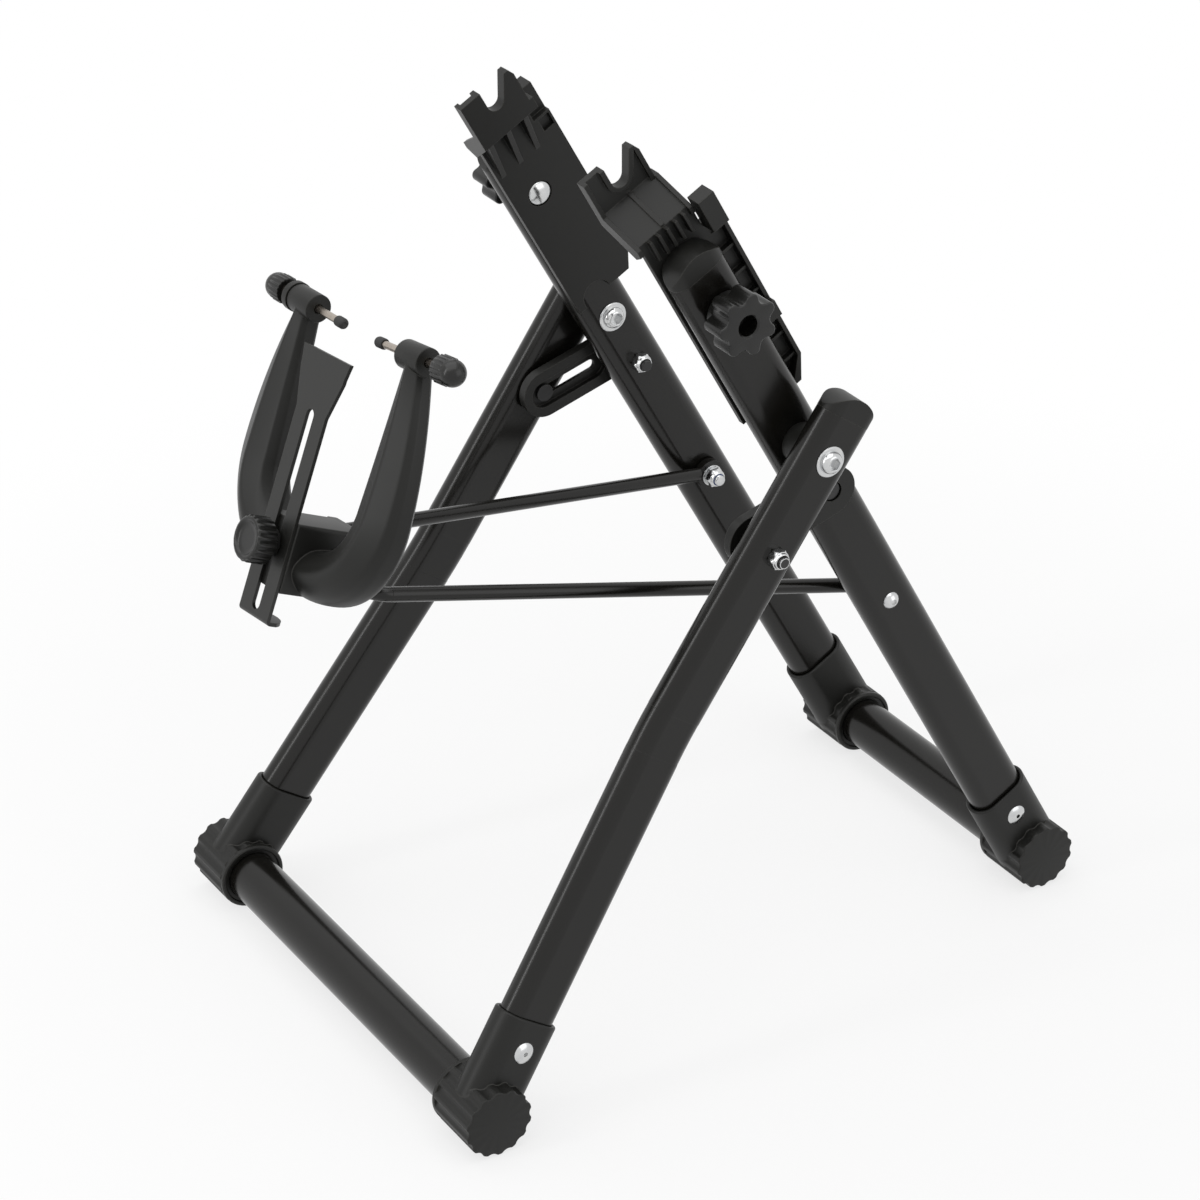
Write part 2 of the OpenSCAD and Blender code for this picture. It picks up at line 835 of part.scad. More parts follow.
// Plate behind the rod that the clamp stud draws against the caliper's base
module clamp_block() {
    color(moulding) difference() {
        on_caliper() intersection() {
            along(block_x, block_x + block_t)
                translate([-block_w / 2, block_low]) square([block_w, block_high - block_low]);
            across(-block_w, block_w) translate([block_x, 0]) union() {
                translate([-cut, block_low])
                    square([cut + block_t - block_round, block_high - block_low]);
                translate([0, block_low + block_round])
                    square([block_t, block_high - block_low - 2 * block_round]);
                for (z = [block_low + block_round, block_high - block_round])
                    translate([block_t - block_round, z]) circle(r = block_round);
            }
        }
        on_caliper() translate([0, 0, stud_rise])
            pin_x(stud_d + 2 * run_fit, 0, block_x + block_t + cut);
        at_rod_base() pin_y(rod_d + 2 * run_fit, -block_w, block_w);
    }
}

module clamp_stud() {
    color(silver) on_caliper() translate([0, 0, stud_rise]) {
        pin_x(stud_d, clamp_hub_x - clamp_hub_len, block_x + block_t);
        translate([block_x + block_t, 0, 0]) rotate([0, 90, 0])
            dome(stud_head_d, stud_head_h);
    }
}

// Sheet metal finger whose top edge gauges the rim, with a tab bent back at its foot
module gauge_plate() {
    half_top = gauge_top_w / 2;
    half = gauge_w / 2;
    back = pad_front - run_fit;
    foot = gauge_bottom + gauge_tab_bend;
    color(paint) on_caliper() {
        along(back - gauge_t, back) difference() {
            polygon([
                [-half, foot], [half, foot], [half, gauge_waist],
                [half_top - gauge_notch, gauge_shoulder],
                [half_top - gauge_notch, gauge_shoulder + gauge_notch],
                [half_top, gauge_top], [-half_top, gauge_top],
                [gauge_notch - half_top, gauge_shoulder + gauge_notch],
                [gauge_notch - half_top, gauge_shoulder], [-half, gauge_waist]
            ]);
            slot_outline(gauge_slot_w, gauge_slot_low, gauge_slot_top);
        }
        translate([back - gauge_t + gauge_tab_bend, 0, foot]) {
            rotate([90, 180, 0]) rotate_extrude(angle = 90)
                translate([gauge_tab_bend - gauge_t, -half]) square([gauge_t, gauge_w]);
            translate([0, 0, -gauge_tab_bend]) linear_extrude(gauge_t) intersection() {
                translate([gauge_tab - gauge_tab_r, 0]) circle(r = gauge_tab_r);
                translate([0, -half]) square([gauge_tab, gauge_w]);
            }
        }
    }
}

// Round knob on the clamp stud, with a ribbed grip and a dished face
module clamp_knob() {
    color(moulding) on_caliper() translate([0, 0, stud_rise]) difference() {
        union() {
            pin_x(clamp_hub_d, clamp_hub_x - clamp_hub_len - cut, clamp_hub_x);
            pin_x(clamp_knob_d - clamp_rib_d, clamp_face_x, clamp_face_x + clamp_grip_len);
            for (i = [1 : clamp_ribs]) rotate([i * 360 / clamp_ribs, 0, 0])
                translate([0, clamp_knob_d / 2 - clamp_rib_d / 2, 0])
                    pin_x(clamp_rib_d, clamp_face_x + clamp_rib_d, clamp_face_x + clamp_grip_len);
        }
        pin_x(clamp_knob_d - clamp_rib_d - 2 * clamp_rim, clamp_face_x - cut,
            clamp_face_x + clamp_dish);
        pin_x(stud_d + 2 * run_fit, clamp_hub_x - clamp_hub_len - gap, clamp_hub_x + cut);
    }
}

// Feelers

pin_inner = feeler_gap_half - boss_y + tip_len - tip_bore_depth;
pin_outer = feeler_knob_inner + feeler_grip_len;

module feeler_pin(side) {
    color(silver) on_feeler(side) pin_y(pin_d, pin_inner, pin_outer);
}

module feeler_tip(side) {
    tip = feeler_gap_half - boss_y;
    color(rubber) on_feeler(side) difference() {
        union() {
            pin_y(tip_d, tip + tip_d / 4, tip + tip_len);
            translate([0, tip + tip_d / 4, 0]) inward() dome(tip_d, tip_d / 4);
        }
        pin_y(pin_d + 2 * run_fit, pin_inner, tip + tip_len + cut);
    }
}

// Ribbed knob with a domed end, pressed on the outer end of a feeler pin
module feeler_knob(side) {
    dome_h = feeler_knob_d / 2;
    plain_end = feeler_knob_inner + feeler_knob_len - dome_h;
    color(moulding) on_feeler(side) difference() {
        union() {
            pin_y(feeler_knob_d - feeler_rib_d, feeler_knob_inner, plain_end);
            translate([0, plain_end, 0]) outward() intersection() {
                sphere(d = feeler_knob_d - feeler_rib_d);
                cylinder(d = feeler_knob_d, h = feeler_knob_d);
            }
            for (i = [1 : feeler_ribs]) rotate([0, i * 360 / feeler_ribs, 0])
                translate([feeler_knob_d / 2 - feeler_rib_d / 2, 0, 0])
                    pin_y(feeler_rib_d, feeler_knob_inner, feeler_knob_inner + feeler_grip_len);
        }
        pin_y(pin_d + 2 * run_fit, feeler_knob_inner - cut, pin_outer);
    }
}

module feeler_collar() {
    color(moulding) on_feeler(LEFT)
        translate([0, boss_len / 2 + gap, 0]) outward()
            ring(collar_d, pin_d + 2 * run_fit, collar_len);
}

// Hub brackets

dropout_inner = dropout_gap / 2;
dropout_outer = dropout_inner + bracket_wall;
flange_outer = fork_inner - run_fit;
flange_inner = flange_outer - bracket_wall;
seat_x = -1;

// Plate that lies on the fork leg's inner face, with the notch at its lower end
module flange_outline() {
    difference() {
        polygon([
            [-flange_front, flange_low], [notch_x - notch_r, flange_low],
            [notch_x - notch_r, hook_low], [notch_x + notch_r, hook_low],
            [flange_back - back_corner, hook_low], [flange_back, hook_low + 2 * back_corner],
            [flange_back, back_top], [plate_back + web_t, back_top],
            [plate_back + web_t, flange_top], [-flange_front, flange_top]
        ]);
        translate([notch_x, flange_low - cut])
            slot_outline(2 * notch_r, -notch_r, hook_low - flange_low + cut);
        translate([flange_back - window_w - rim_t / 2, back_top - window_rise - rim_t / 2])
            square([window_w, window_rise]);
    }
}

// Space that the axle drops through: a round seat, a front wall along the leg and a back
// wall that stands upright when the fork leans
module axle_slot(width) {
    r = width / 2;
    wall_foot = [seat_x + r * cos(fork_tilt), axle_rise - r * sin(fork_tilt)];
    up = plate_top - axle_rise + slot_w;
    translate([seat_x, axle_rise]) circle(r = r);
    polygon([
        [seat_x - r, axle_rise], wall_foot,
        wall_foot + up * [sin(fork_tilt), cos(fork_tilt)], [seat_x - r, axle_rise + up]
    ]);
}

module dropout_outline() {
    difference() {
        polygon([
            [-plate_front, ramp_low], [plate_back + web_t, ramp_low],
            [plate_back, ramp_top], [plate_back, plate_top - bracket_wall],
            [plate_back - bracket_wall / 2, plate_top], [-plate_front, plate_top]
        ]);
        axle_slot(slot_w);
    }
}

// Raised rim on the outer face of the dropout plate, round the slot and down both sides
module dropout_rim_outline() {
    difference() {
        intersection() {
            dropout_outline();
            union() {
                axle_slot(slot_w + 2 * rim_t);
                translate([-plate_front, ramp_low]) square([web_t, plate_top - ramp_low]);
                translate([plate_back - web_t, ramp_low]) square([2 * web_t, plate_top - ramp_low]);
            }
        }
        axle_slot(slot_w);
    }
}

// Side wall that follows the ramp from the dropout plate down to the flange
module ramp_web_outline(top) {
    polygon([
        [dropout_inner, ramp_low], [dropout_inner, top], [dropout_outer + rim_t, top],
        [dropout_outer + rim_t, ramp_top], [flange_outer + web_rise, flange_top],
        [flange_outer + web_rise, flange_top - bracket_wall],
        [flange_inner, flange_top - 2 * bracket_wall]
    ]);
}

module ramp_outline() {
    polygon([
        [dropout_inner, ramp_low], [dropout_outer, ramp_top],
        [flange_outer, flange_top], [flange_outer, flange_top - bracket_wall],
        [flange_inner, flange_top - 2 * bracket_wall]
    ]);
}

// Tapered rib from the underside of the ramp down the flange
module gusset_outline() {
    reach = (flange_inner - dropout_inner) / 2;
    polygon([
        [flange_inner, gusset_low], [flange_inner - reach, ramp_low - bracket_wall],
        [flange_inner, ramp_low - bracket_wall]
    ]);
}

// Pockets, ribs and lugs on the strip of flange behind the leg
module back_strip() {
    strip_x = leg_w / 2 + gap;
    wall_top = flange_outer + strip_rise;
    low = hook_low + 2 * back_corner;
    across(flange_outer - run_fit, wall_top) translate([flange_back - pane_t, low])
        square([pane_t, back_top - low]);
    across(flange_outer - run_fit, wall_top)
        polygon([
            [flange_back, low], [flange_back - pane_t, low],
            [strip_x, hook_low + pane_t], [strip_x, hook_low],
            [flange_back - back_corner, hook_low]
        ]);
    for (z = [low : strip_rib_gap : back_top - strip_rib_gap])
        across(flange_outer - run_fit, wall_top - pane_t) translate([strip_x, z])
            square([flange_back - strip_x, comb_t]);
    across(flange_outer - run_fit, flange_outer + lug_rise)
        translate([flange_back - lug_w, back_top - pane_t]) square([lug_w, lug_len]);
    across(flange_outer - run_fit, flange_outer + lug_rise)
        translate([flange_back - lug_w, low_lug - lug_w / 2]) square([lug_w, lug_w]);
}

module hub_bracket(side) {
    color(moulding) on_fork() at_side(side) difference() {
        union() {
            across(flange_inner, flange_outer) flange_outline();
            across(dropout_inner, dropout_outer) dropout_outline();
            across(dropout_inner, dropout_outer + rim_t) dropout_rim_outline();
            along(-flange_front - web_t, plate_back + web_t) ramp_outline();
            along(-plate_front, web_t - plate_front) ramp_web_outline(plate_top);
            along(plate_back, plate_back + web_t) ramp_web_outline(ramp_top);
            along(-web_t / 2, web_t / 2) translate([0, web_t / 2]) ramp_outline();
            for (x = gusset_xs) along(x - gusset_t / 2, x + gusset_t / 2) gusset_outline();
            for (x = comb_xs) across(flange_outer - run_fit, flange_outer + comb_rise)
                translate([x - comb_t / 2, comb_low]) square([comb_t, flange_top - comb_low]);
            back_strip();
        }
        translate([0, 0, knob_rise]) {
            pin_y(carriage_d + 2 * run_fit, flange_inner - cut, flange_outer + cut);
            pin_y(carriage_head_d + 2 * gap, flange_inner - cut, flange_outer - bracket_wall / 2);
        }
    }
}

module carriage_bolt(side) {
    face = flange_outer - bracket_wall / 2;
    color(silver) on_fork() at_side(side) translate([0, 0, knob_rise]) {
        translate([0, face, 0]) inward() dome(carriage_head_d, carriage_head_h);
        pin_y(carriage_d, face, fork_outer + star_thread_depth);
    }
}

// Lobed hand knob with a deep bore over the end of its bolt
module star_knob(side) {
    lobe_r = star_d * PI / (4 * star_lobes);
    valley_r = lobe_r * star_valley_share;
    base = fork_outer + washer_t + gap;
    color(moulding) on_fork() at_side(side) translate([0, base, knob_rise]) outward()
        difference() {
            union() {
                cylinder(d = star_hub_d, h = star_hub_h);
                translate([0, 0, star_hub_h - cut]) linear_extrude(star_depth - star_hub_h + cut) {
                    difference() {
                        circle(r = star_d / 2 - lobe_r);
                        for (i = [1 : star_lobes]) rotate((i + 0.5) * 360 / star_lobes)
                            translate([star_d / 2, 0]) circle(r = valley_r);
                    }
                    for (i = [1 : star_lobes]) rotate(i * 360 / star_lobes)
                        translate([star_d / 2 - lobe_r, 0]) circle(r = lobe_r);
                }
            }
            translate([0, 0, -cut])
                cylinder(d = carriage_d + 2 * run_fit, h = star_depth + 2 * cut);
            translate([0, 0, star_thread_depth])
                cylinder(d = star_hole_d, h = star_depth);
        }
}

module knob_washers() {
    color(silver) for (side = SIDES)
        on_fork() at_side(side) translate([0, fork_outer, knob_rise]) outward()
            ring(knob_washer_d, carriage_d + 2 * gap, washer_t);
}

fork_leg(LEFT);  // fork_leg_left
fork_leg(RIGHT);  // fork_leg_right
fork_cap(LEFT);  // fork_cap_left
fork_cap(RIGHT);  // fork_cap_right
rear_cross_tube();
rear_socket(LEFT);  // rear_socket_left
rear_socket(RIGHT);  // rear_socket_right
rear_rivets();
pivot_bolts();
pivot_sleeves();
pivot_spacers();
link_bolts();
link_nuts();
arm_bolts();
arm_spacers();
arm_nuts();
knob_washers();
support_leg(LEFT);  // support_leg_left
support_leg(RIGHT);  // support_leg_right
support_cap(LEFT);  // support_cap_left
support_cap(RIGHT);  // support_cap_right
front_cross_tube();
front_socket(LEFT);  // front_socket_left
front_socket(RIGHT);  // front_socket_right
front_rivets();
slot_bolts();
slot_nuts();
link(LEFT);  // link_left
link(RIGHT);  // link_right
slot_pin(LEFT);  // slot_pin_left
slot_pin(RIGHT);  // slot_pin_right
arm_rod();
caliper_body();
clamp_block();
clamp_stud();
gauge_plate();
clamp_knob();
feeler_pin(LEFT);  // feeler_pin_left
feeler_pin(RIGHT);  // feeler_pin_right
feeler_tip(LEFT);  // feeler_tip_left
feeler_tip(RIGHT);  // feeler_tip_right
feeler_knob(LEFT);  // feeler_knob_left
feeler_knob(RIGHT);  // feeler_knob_right
feeler_collar();
hub_bracket(LEFT);  // hub_bracket_left
hub_bracket(RIGHT);  // hub_bracket_right
carriage_bolt(LEFT);  // carriage_bolt_left
carriage_bolt(RIGHT);  // carriage_bolt_right
star_knob(LEFT);  // star_knob_left
star_knob(RIGHT);  // star_knob_right
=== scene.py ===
"""Looks of the folding wheel truing stand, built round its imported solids.

The solids carry every plain tube, bolt and bracket and get their finishes here. The mouldings whose
form is softer than an exact solid can give, such as the caliper, the feet and the knobs, are built
anew as surfaces worked out with numpy. Sizes are in millimetres in the row frame: +Z up, the
caliper toward -X, left is +Y, and the origin on the ground in the middle of the stand.
"""

import logging
import math
from dataclasses import dataclass
from enum import Enum
from typing import Any, Dict, List, Optional, Sequence, Tuple, Union

import bpy
import numpy as np
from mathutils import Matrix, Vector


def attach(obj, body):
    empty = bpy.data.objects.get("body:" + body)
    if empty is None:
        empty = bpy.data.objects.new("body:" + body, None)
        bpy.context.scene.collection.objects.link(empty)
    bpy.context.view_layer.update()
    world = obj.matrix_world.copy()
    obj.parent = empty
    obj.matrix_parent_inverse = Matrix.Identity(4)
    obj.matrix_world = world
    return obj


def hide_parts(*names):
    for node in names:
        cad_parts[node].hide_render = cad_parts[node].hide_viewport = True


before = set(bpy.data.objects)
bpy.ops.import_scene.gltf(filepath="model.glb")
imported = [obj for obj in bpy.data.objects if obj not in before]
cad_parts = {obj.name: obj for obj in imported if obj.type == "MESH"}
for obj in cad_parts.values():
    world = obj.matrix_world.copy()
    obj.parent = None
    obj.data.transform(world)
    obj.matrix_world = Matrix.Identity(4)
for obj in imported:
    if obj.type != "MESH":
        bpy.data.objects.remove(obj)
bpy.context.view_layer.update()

LOG = logging.getLogger("truing_stand")
MM = 0.001
WHITE = "#ffffff"
FULL_TURN = 2 * math.pi


class Axis(Enum):
    """The three directions of the row frame."""

    X = 0
    Y = 1
    Z = 2


class Side(Enum):
    """The two sides of the stand, with the sign of Y on each."""

    LEFT = 1
    RIGHT = -1

    @property
    def word(self) -> str:
        """The side as it ends the names of nodes and bodies."""
        return self.name.lower()


# Placement


def turn(axis: Axis, degrees: float) -> np.ndarray:
    """Gives the matrix that turns points about one axis by the right-hand rule.

    Args:
        axis: Axis through the origin that the points turn about.
        degrees: Angle of the turn.

    Returns:
        A 4 by 4 matrix.
    """
    c, s = math.cos(math.radians(degrees)), math.sin(math.radians(degrees))
    i, j = [(1, 2), (2, 0), (0, 1)][axis.value]
    matrix = np.eye(4)
    matrix[i, i], matrix[j, j] = c, c
    matrix[i, j], matrix[j, i] = -s, s
    return matrix


def shift(x: float, y: float, z: float) -> np.ndarray:
    """Gives the 4 by 4 matrix that moves points by x, y and z millimetres."""
    matrix = np.eye(4)
    matrix[:3, 3] = (x, y, z)
    return matrix


def at_side(side: Side) -> np.ndarray:
    """Gives the 4 by 4 matrix that mirrors the left side's points onto a side."""
    return np.diag([1.0, float(side.value), 1.0, 1.0])


@dataclass(frozen=True)
class Stance:
    """Sizes that place every part of the stand, and the frames that follow from them."""

    foot_spread: float = 393
    fork_reach: float = 356.5
    support_reach: float = 379.5
    foot_d: float = 39
    fork_gauge: float = 179
    leg_gap: float = 9.8
    leg_w: float = 33
    leg_t: float = 17
    support_bend: float = 165
    support_splay: float = 5.5
    arm_drop: float = 129
    arm_reach: float = 289.5
    arm_rise: float = 11.7
    caliper_tilt: float = 24
    caliper_cant: float = 6
    stud_rise: float = 7.8
    feeler_rise: float = 122.5
    boss_x: float = -24.3
    boss_y: float = 52.5
    pin_tilt: float = 2.2
    knob_rise: float = 98
    link_drop: float = 36
    slot_drop: float = 56

    @property
    def pivot_x(self) -> float:
        """Place of the folding pivot along X, from the triangle of the feet and the pivot."""
        return (self.support_reach**2 - self.fork_reach**2) / (2 * self.foot_spread)

    @property
    def pivot_height(self) -> float:
        """Height of the folding pivot above the foot axes."""
        return math.sqrt(self.support_reach**2 - (self.pivot_x + self.foot_spread / 2) ** 2)

    @property
    def fork_tilt(self) -> float:
        """Angle by which the fork leans toward the front, in degrees."""
        return math.degrees(math.atan2(self.foot_spread / 2 - self.pivot_x, self.pivot_height))

    @property
    def support_tilt(self) -> float:
        """Angle by which the support frame leans toward the back, in degrees."""
        return math.degrees(math.atan2(self.foot_spread / 2 + self.pivot_x, self.pivot_height))

    @property
    def fork_y(self) -> float:
        """Distance of a fork leg's middle plane from the middle of the stand."""
        return self.fork_gauge / 2

    @property
    def fork_outer(self) -> float:
        """Distance of a fork leg's outer face from the middle of the stand."""
        return self.fork_y + self.leg_t / 2

    @property
    def fork_inner(self) -> float:
        """Distance of a fork leg's inner face from the middle of the stand."""
        return self.fork_y - self.leg_t / 2

    @property
    def support_y(self) -> float:
        """Distance of a support leg's middle plane from the middle, above its bend."""
        return self.fork_outer + self.leg_gap + self.leg_t / 2

    @property
    def support_outer(self) -> float:
        """Distance of a support leg's outer face from the middle, above its bend."""
        return self.support_y + self.leg_t / 2

    @property
    def front_foot_y(self) -> float:
        """Distance of a front foot from the middle, where the splayed leg meets it."""
        drop = self.support_reach - self.support_bend
        return self.support_y + drop * math.tan(math.radians(self.support_splay))

    def pivot(self) -> np.ndarray:
        """Frame at the folding pivot, square to the ground."""
        return shift(self.pivot_x, 0, self.foot_d / 2 + self.pivot_height)

    def on_fork(self, side: Side) -> np.ndarray:
        """Frame along a fork leg: +Z up the leg and +Y outward, from the folding pivot."""
        return self.pivot() @ turn(Axis.Y, -self.fork_tilt) @ at_side(side)

    def on_support(self, side: Side) -> np.ndarray:
        """Frame along a support leg above its bend: +Z up the leg and +Y outward."""
        return self.pivot() @ turn(Axis.Y, self.support_tilt) @ at_side(side)

    def at_rod_base(self) -> np.ndarray:
        """Frame on the middle line of the rod's base, level with the ground."""
        arm = self.on_fork(Side.LEFT) @ shift(0, 0, -self.arm_drop)
        arm = arm @ turn(Axis.Y, self.fork_tilt + self.arm_rise)
        return arm @ shift(-self.arm_reach, 0, 0) @ turn(Axis.Y, -self.arm_rise)

    def on_caliper(self) -> np.ndarray:
        """Frame of the caliper: +Z toward the feelers, -X its front, from the rod's base."""
        leaned = self.at_rod_base() @ turn(Axis.Y, self.caliper_tilt)
        cant = shift(0, 0, self.stud_rise) @ turn(Axis.X, -self.caliper_cant)
        return leaned @ cant @ shift(0, 0, -self.stud_rise)

    def on_feeler(self, side: Side) -> np.ndarray:
        """Frame along a feeler pin: +Y outward, from the middle of its boss."""
        boss = shift(self.boss_x, self.boss_y, self.feeler_rise)
        return self.on_caliper() @ at_side(side) @ boss @ turn(Axis.X, self.pin_tilt)


STANCE = Stance()


# Surfaces


@dataclass
class Shell:
    """A closed surface: its points in millimetres and its faces, four-sided and three-sided."""

    points: np.ndarray
    quads: np.ndarray
    triangles: np.ndarray

    def volume(self) -> float:
        """Gives the signed volume, the sum over all faces of the box product of three corners."""
        q, t = self.quads, self.triangles
        corners = np.concatenate([q[:, [0, 1, 2]], q[:, [0, 2, 3]], t])
        a, b, c = (self.points[corners[:, k]] for k in range(3))
        return float(np.einsum("ij,ij->i", a, np.cross(b, c)).sum() / 6)

    def placed(self, matrix: np.ndarray) -> "Shell":
        """Gives the shell moved by a 4 by 4 matrix, with its faces turned outward.

        Args:
            matrix: Placement; a mirror is allowed.

        Returns:
            A new shell with a positive volume.
        """
        points = self.points @ matrix[:3, :3].T + matrix[:3, 3]
        moved = Shell(points, self.quads, self.triangles)
        if moved.volume() < 0:
            moved = Shell(points, self.quads[:, ::-1], self.triangles[:, ::-1])
        return moved

    def along_y(self) -> "Shell":
        """Gives the shell with Y and Z exchanged, a mirror that placed() turns outward again."""
        return Shell(self.points[:, [0, 2, 1]], self.quads, self.triangles)


def ring(unit: np.ndarray, radius: Union[float, np.ndarray], height: float) -> np.ndarray:
    """Gives one closed ring of a form.

    Args:
        unit: Unit circle of shape (places, 2).
        radius: Radius of the ring, or one for each place.
        height: Height of the ring along Z.

    Returns:
        Points of shape (places, 3).
    """
    flat = unit * np.reshape(radius, (-1, 1))
    return np.column_stack([flat, np.full(len(unit), height)])


def stacked(rings: np.ndarray) -> Shell:
    """Joins a stack of closed rings into one closed surface.

    The surface is a grid of two parameters, the number of the ring and the place along it, that
    wraps round along the ring. A fan of triangles to its mean point closes each end.

    Args:
        rings: Points of shape (rings, places, 3).

    Returns:
        The closed shell.
    """
    count, places, _ = rings.shape
    ends = rings[[0, -1]].mean(axis=1)
    points = np.concatenate([rings.reshape(-1, 3), ends])
    row, place = np.meshgrid(np.arange(count - 1), np.arange(places), indexing="ij")
    after = (place + 1) % places
    a, b = row * places + place, row * places + after
    quads = np.stack([a, b, b + places, a + places], axis=-1).reshape(-1, 4)
    first = np.arange(places)
    following = (first + 1) % places
    last = (count - 1) * places
    low = np.stack([np.full(places, count * places), following, first], axis=-1)
    high = np.stack([np.full(places, count * places + 1), last + first, last + following], axis=-1)
    return Shell(points, quads, np.concatenate([low, high]))


def carried(outline: np.ndarray, profile: np.ndarray) -> np.ndarray:
    """Carries a profile round a closed outline.

    Each point of the profile is an inset and a height. Its ring is the outline moved inward along
    its own normals by the inset, at that height.

    Args:
        outline: Closed counter-clockwise outline of shape (places, 2).
        profile: Insets and heights of shape (rings, 2).

    Returns:
        Rings of shape (rings, places, 3), with the height along Z.
    """
    along = np.roll(outline, -1, axis=0) - np.roll(outline, 1, axis=0)
    inward = np.stack([-along[:, 1], along[:, 0]], axis=-1)
    inward /= np.linalg.norm(inward, axis=1, keepdims=True)
    flat = outline[None] + profile[:, None, :1] * inward[None]
    heights = np.broadcast_to(profile[:, None, 1:], (*flat.shape[:2], 1))
    return np.concatenate([flat, heights], axis=-1)


def round_edge(
    radius: float, inset: float, height: float, rising: bool, steps: int = 5
) -> np.ndarray:
    """Gives the quarter circle that rounds the edge between a side and an end face.

    Args:
        radius: Radius of the edge.
        inset: Inset of the side that the arc meets.
        height: Height of the end face that the arc meets.
        rising: True from the side to the upper face, False from the lower face to the side.
        steps: Number of stretches in the arc.

    Returns:
        Insets and heights of shape (steps + 1, 2).
    """
    angle = np.linspace(0, math.pi / 2, steps + 1)
    insets = inset + radius * (1 - np.cos(angle))
    arc = np.stack([insets, height - radius * (1 - np.sin(angle))], axis=-1)
    if rising:
        return arc
    arc[:, 1] = 2 * height - arc[:, 1]
    return arc[::-1]


def circle(radius: float, places: int) -> np.ndarray:
    """Gives a circle as a closed counter-clockwise outline of shape (places, 2)."""
    angle = np.arange(places) * FULL_TURN / places
    return radius * np.stack([np.cos(angle), np.sin(angle)], axis=-1)


def polar(radii: np.ndarray) -> np.ndarray:
    """Gives the closed outline whose radius at equal steps of angle is listed in radii."""
    return circle(1.0, len(radii)) * radii[:, None]


def softened(values: np.ndarray, passes: int) -> np.ndarray:
    """Smooths a closed row of values: each pass takes a quarter of both neighbours and a half."""
    for _ in range(passes):
        values = (np.roll(values, 1, axis=0) + 2 * values + np.roll(values, -1, axis=0)) / 4
    return values


def stadium(width: float, thickness: float, places: int = 96) -> np.ndarray:
    """Gives a flat oval: a half circle at each end of X and a straight run between them.

    Args:
        width: Full width along X.
        thickness: Full thickness along Y, twice the radius of the ends.
        places: Number of points, divisible by four.

    Returns:
        Closed counter-clockwise outline of shape (places, 2).
    """
    arc, run = places // 3, places // 6
    r, half = thickness / 2, (width - thickness) / 2
    angle = np.linspace(-math.pi / 2, math.pi / 2, arc + 1)
    end = np.stack([half + r * np.cos(angle), r * np.sin(angle)], axis=-1)
    x = np.linspace(half, -half, run + 1)[1:-1]
    side = np.stack([x, np.full(len(x), r)], axis=-1)
    return np.concatenate([end, side, -end, -side])


def cornered(corners: np.ndarray, share: float, steps: int = 6) -> np.ndarray:
    """Rounds every corner of a closed outline.

    Each corner becomes the parabola that leaves one side at a share of its length from the corner,
    is drawn toward the corner and joins the next side at the same share.

    Args:
        corners: Outline of shape (corners, 2), counter-clockwise.
        share: Share of each side that the rounding takes, at most a half.
        steps: Number of points on each rounded corner.

    Returns:
        Closed outline of shape (corners * steps, 2).
    """
    before = corners + share * (np.roll(corners, 1, axis=0) - corners)
    after = corners + share * (np.roll(corners, -1, axis=0) - corners)
    t = np.linspace(0, 1, steps)[None, :, None]
    drawn = 2 * t * (1 - t) * corners[:, None]
    curve = (1 - t) ** 2 * before[:, None] + drawn + t**2 * after[:, None]
    return curve.reshape(-1, 2)


def hexagon(width: float, places: int) -> np.ndarray:
    """Gives a hexagon's radii by angle: half its width over the cosine from the nearest flat."""
    angle = np.arange(places) * FULL_TURN / places
    step = FULL_TURN / 6
    from_flat = (angle + step / 2) % step - step / 2
    return width / 2 / np.cos(from_flat)


def turned(profile: Sequence[Tuple[float, float]], places: int = 64) -> Shell:
    """Turns a profile about Z: every point, a radius and a height, becomes a circle.

    Args:
        profile: Radii and heights, from one end of the form to the other.
        places: Number of points round the axis.

    Returns:
        The closed shell of the turned form.
    """
    rows = np.array(profile, float)
    unit = circle(1.0, places)
    flat = rows[:, None, :1] * unit[None]
    heights = np.broadcast_to(rows[:, None, 1:], (*flat.shape[:2], 1))
    return stacked(np.concatenate([flat, heights], axis=-1))


def rounded_turning(
    radius: float, low: float, high: float, edge: float
) -> List[Tuple[float, float]]:
    """Gives the profile of a turned disc or rod whose two edges are rounded."""
    lower = round_edge(edge, 0, low, rising=False)
    upper = round_edge(edge, 0, high, rising=True)
    return [(radius - inset, height) for inset, height in np.concatenate([lower, upper])]


# Finishes


def linear(hex_colour: str) -> Tuple[float, float, float, float]:
    """Turns an sRGB hex colour into the linear red, green, blue and alpha that shaders take.

    Args:
        hex_colour: Colour such as "#1d1d1c".

    Returns:
        Linear red, green and blue, and an alpha of 1.
    """
    values = [int(hex_colour[i : i + 2], 16) / 255 for i in (1, 3, 5)]
    red, green, blue = (
        v / 12.92 if v <= 0.04045 else ((v + 0.055) / 1.055) ** 2.4 for v in values
    )
    return red, green, blue, 1.0


def socket_key(name: str) -> Union[int, str]:
    """Gives an input socket's number where the name is one, and else its name."""
    return int(name) if name.isdigit() else name


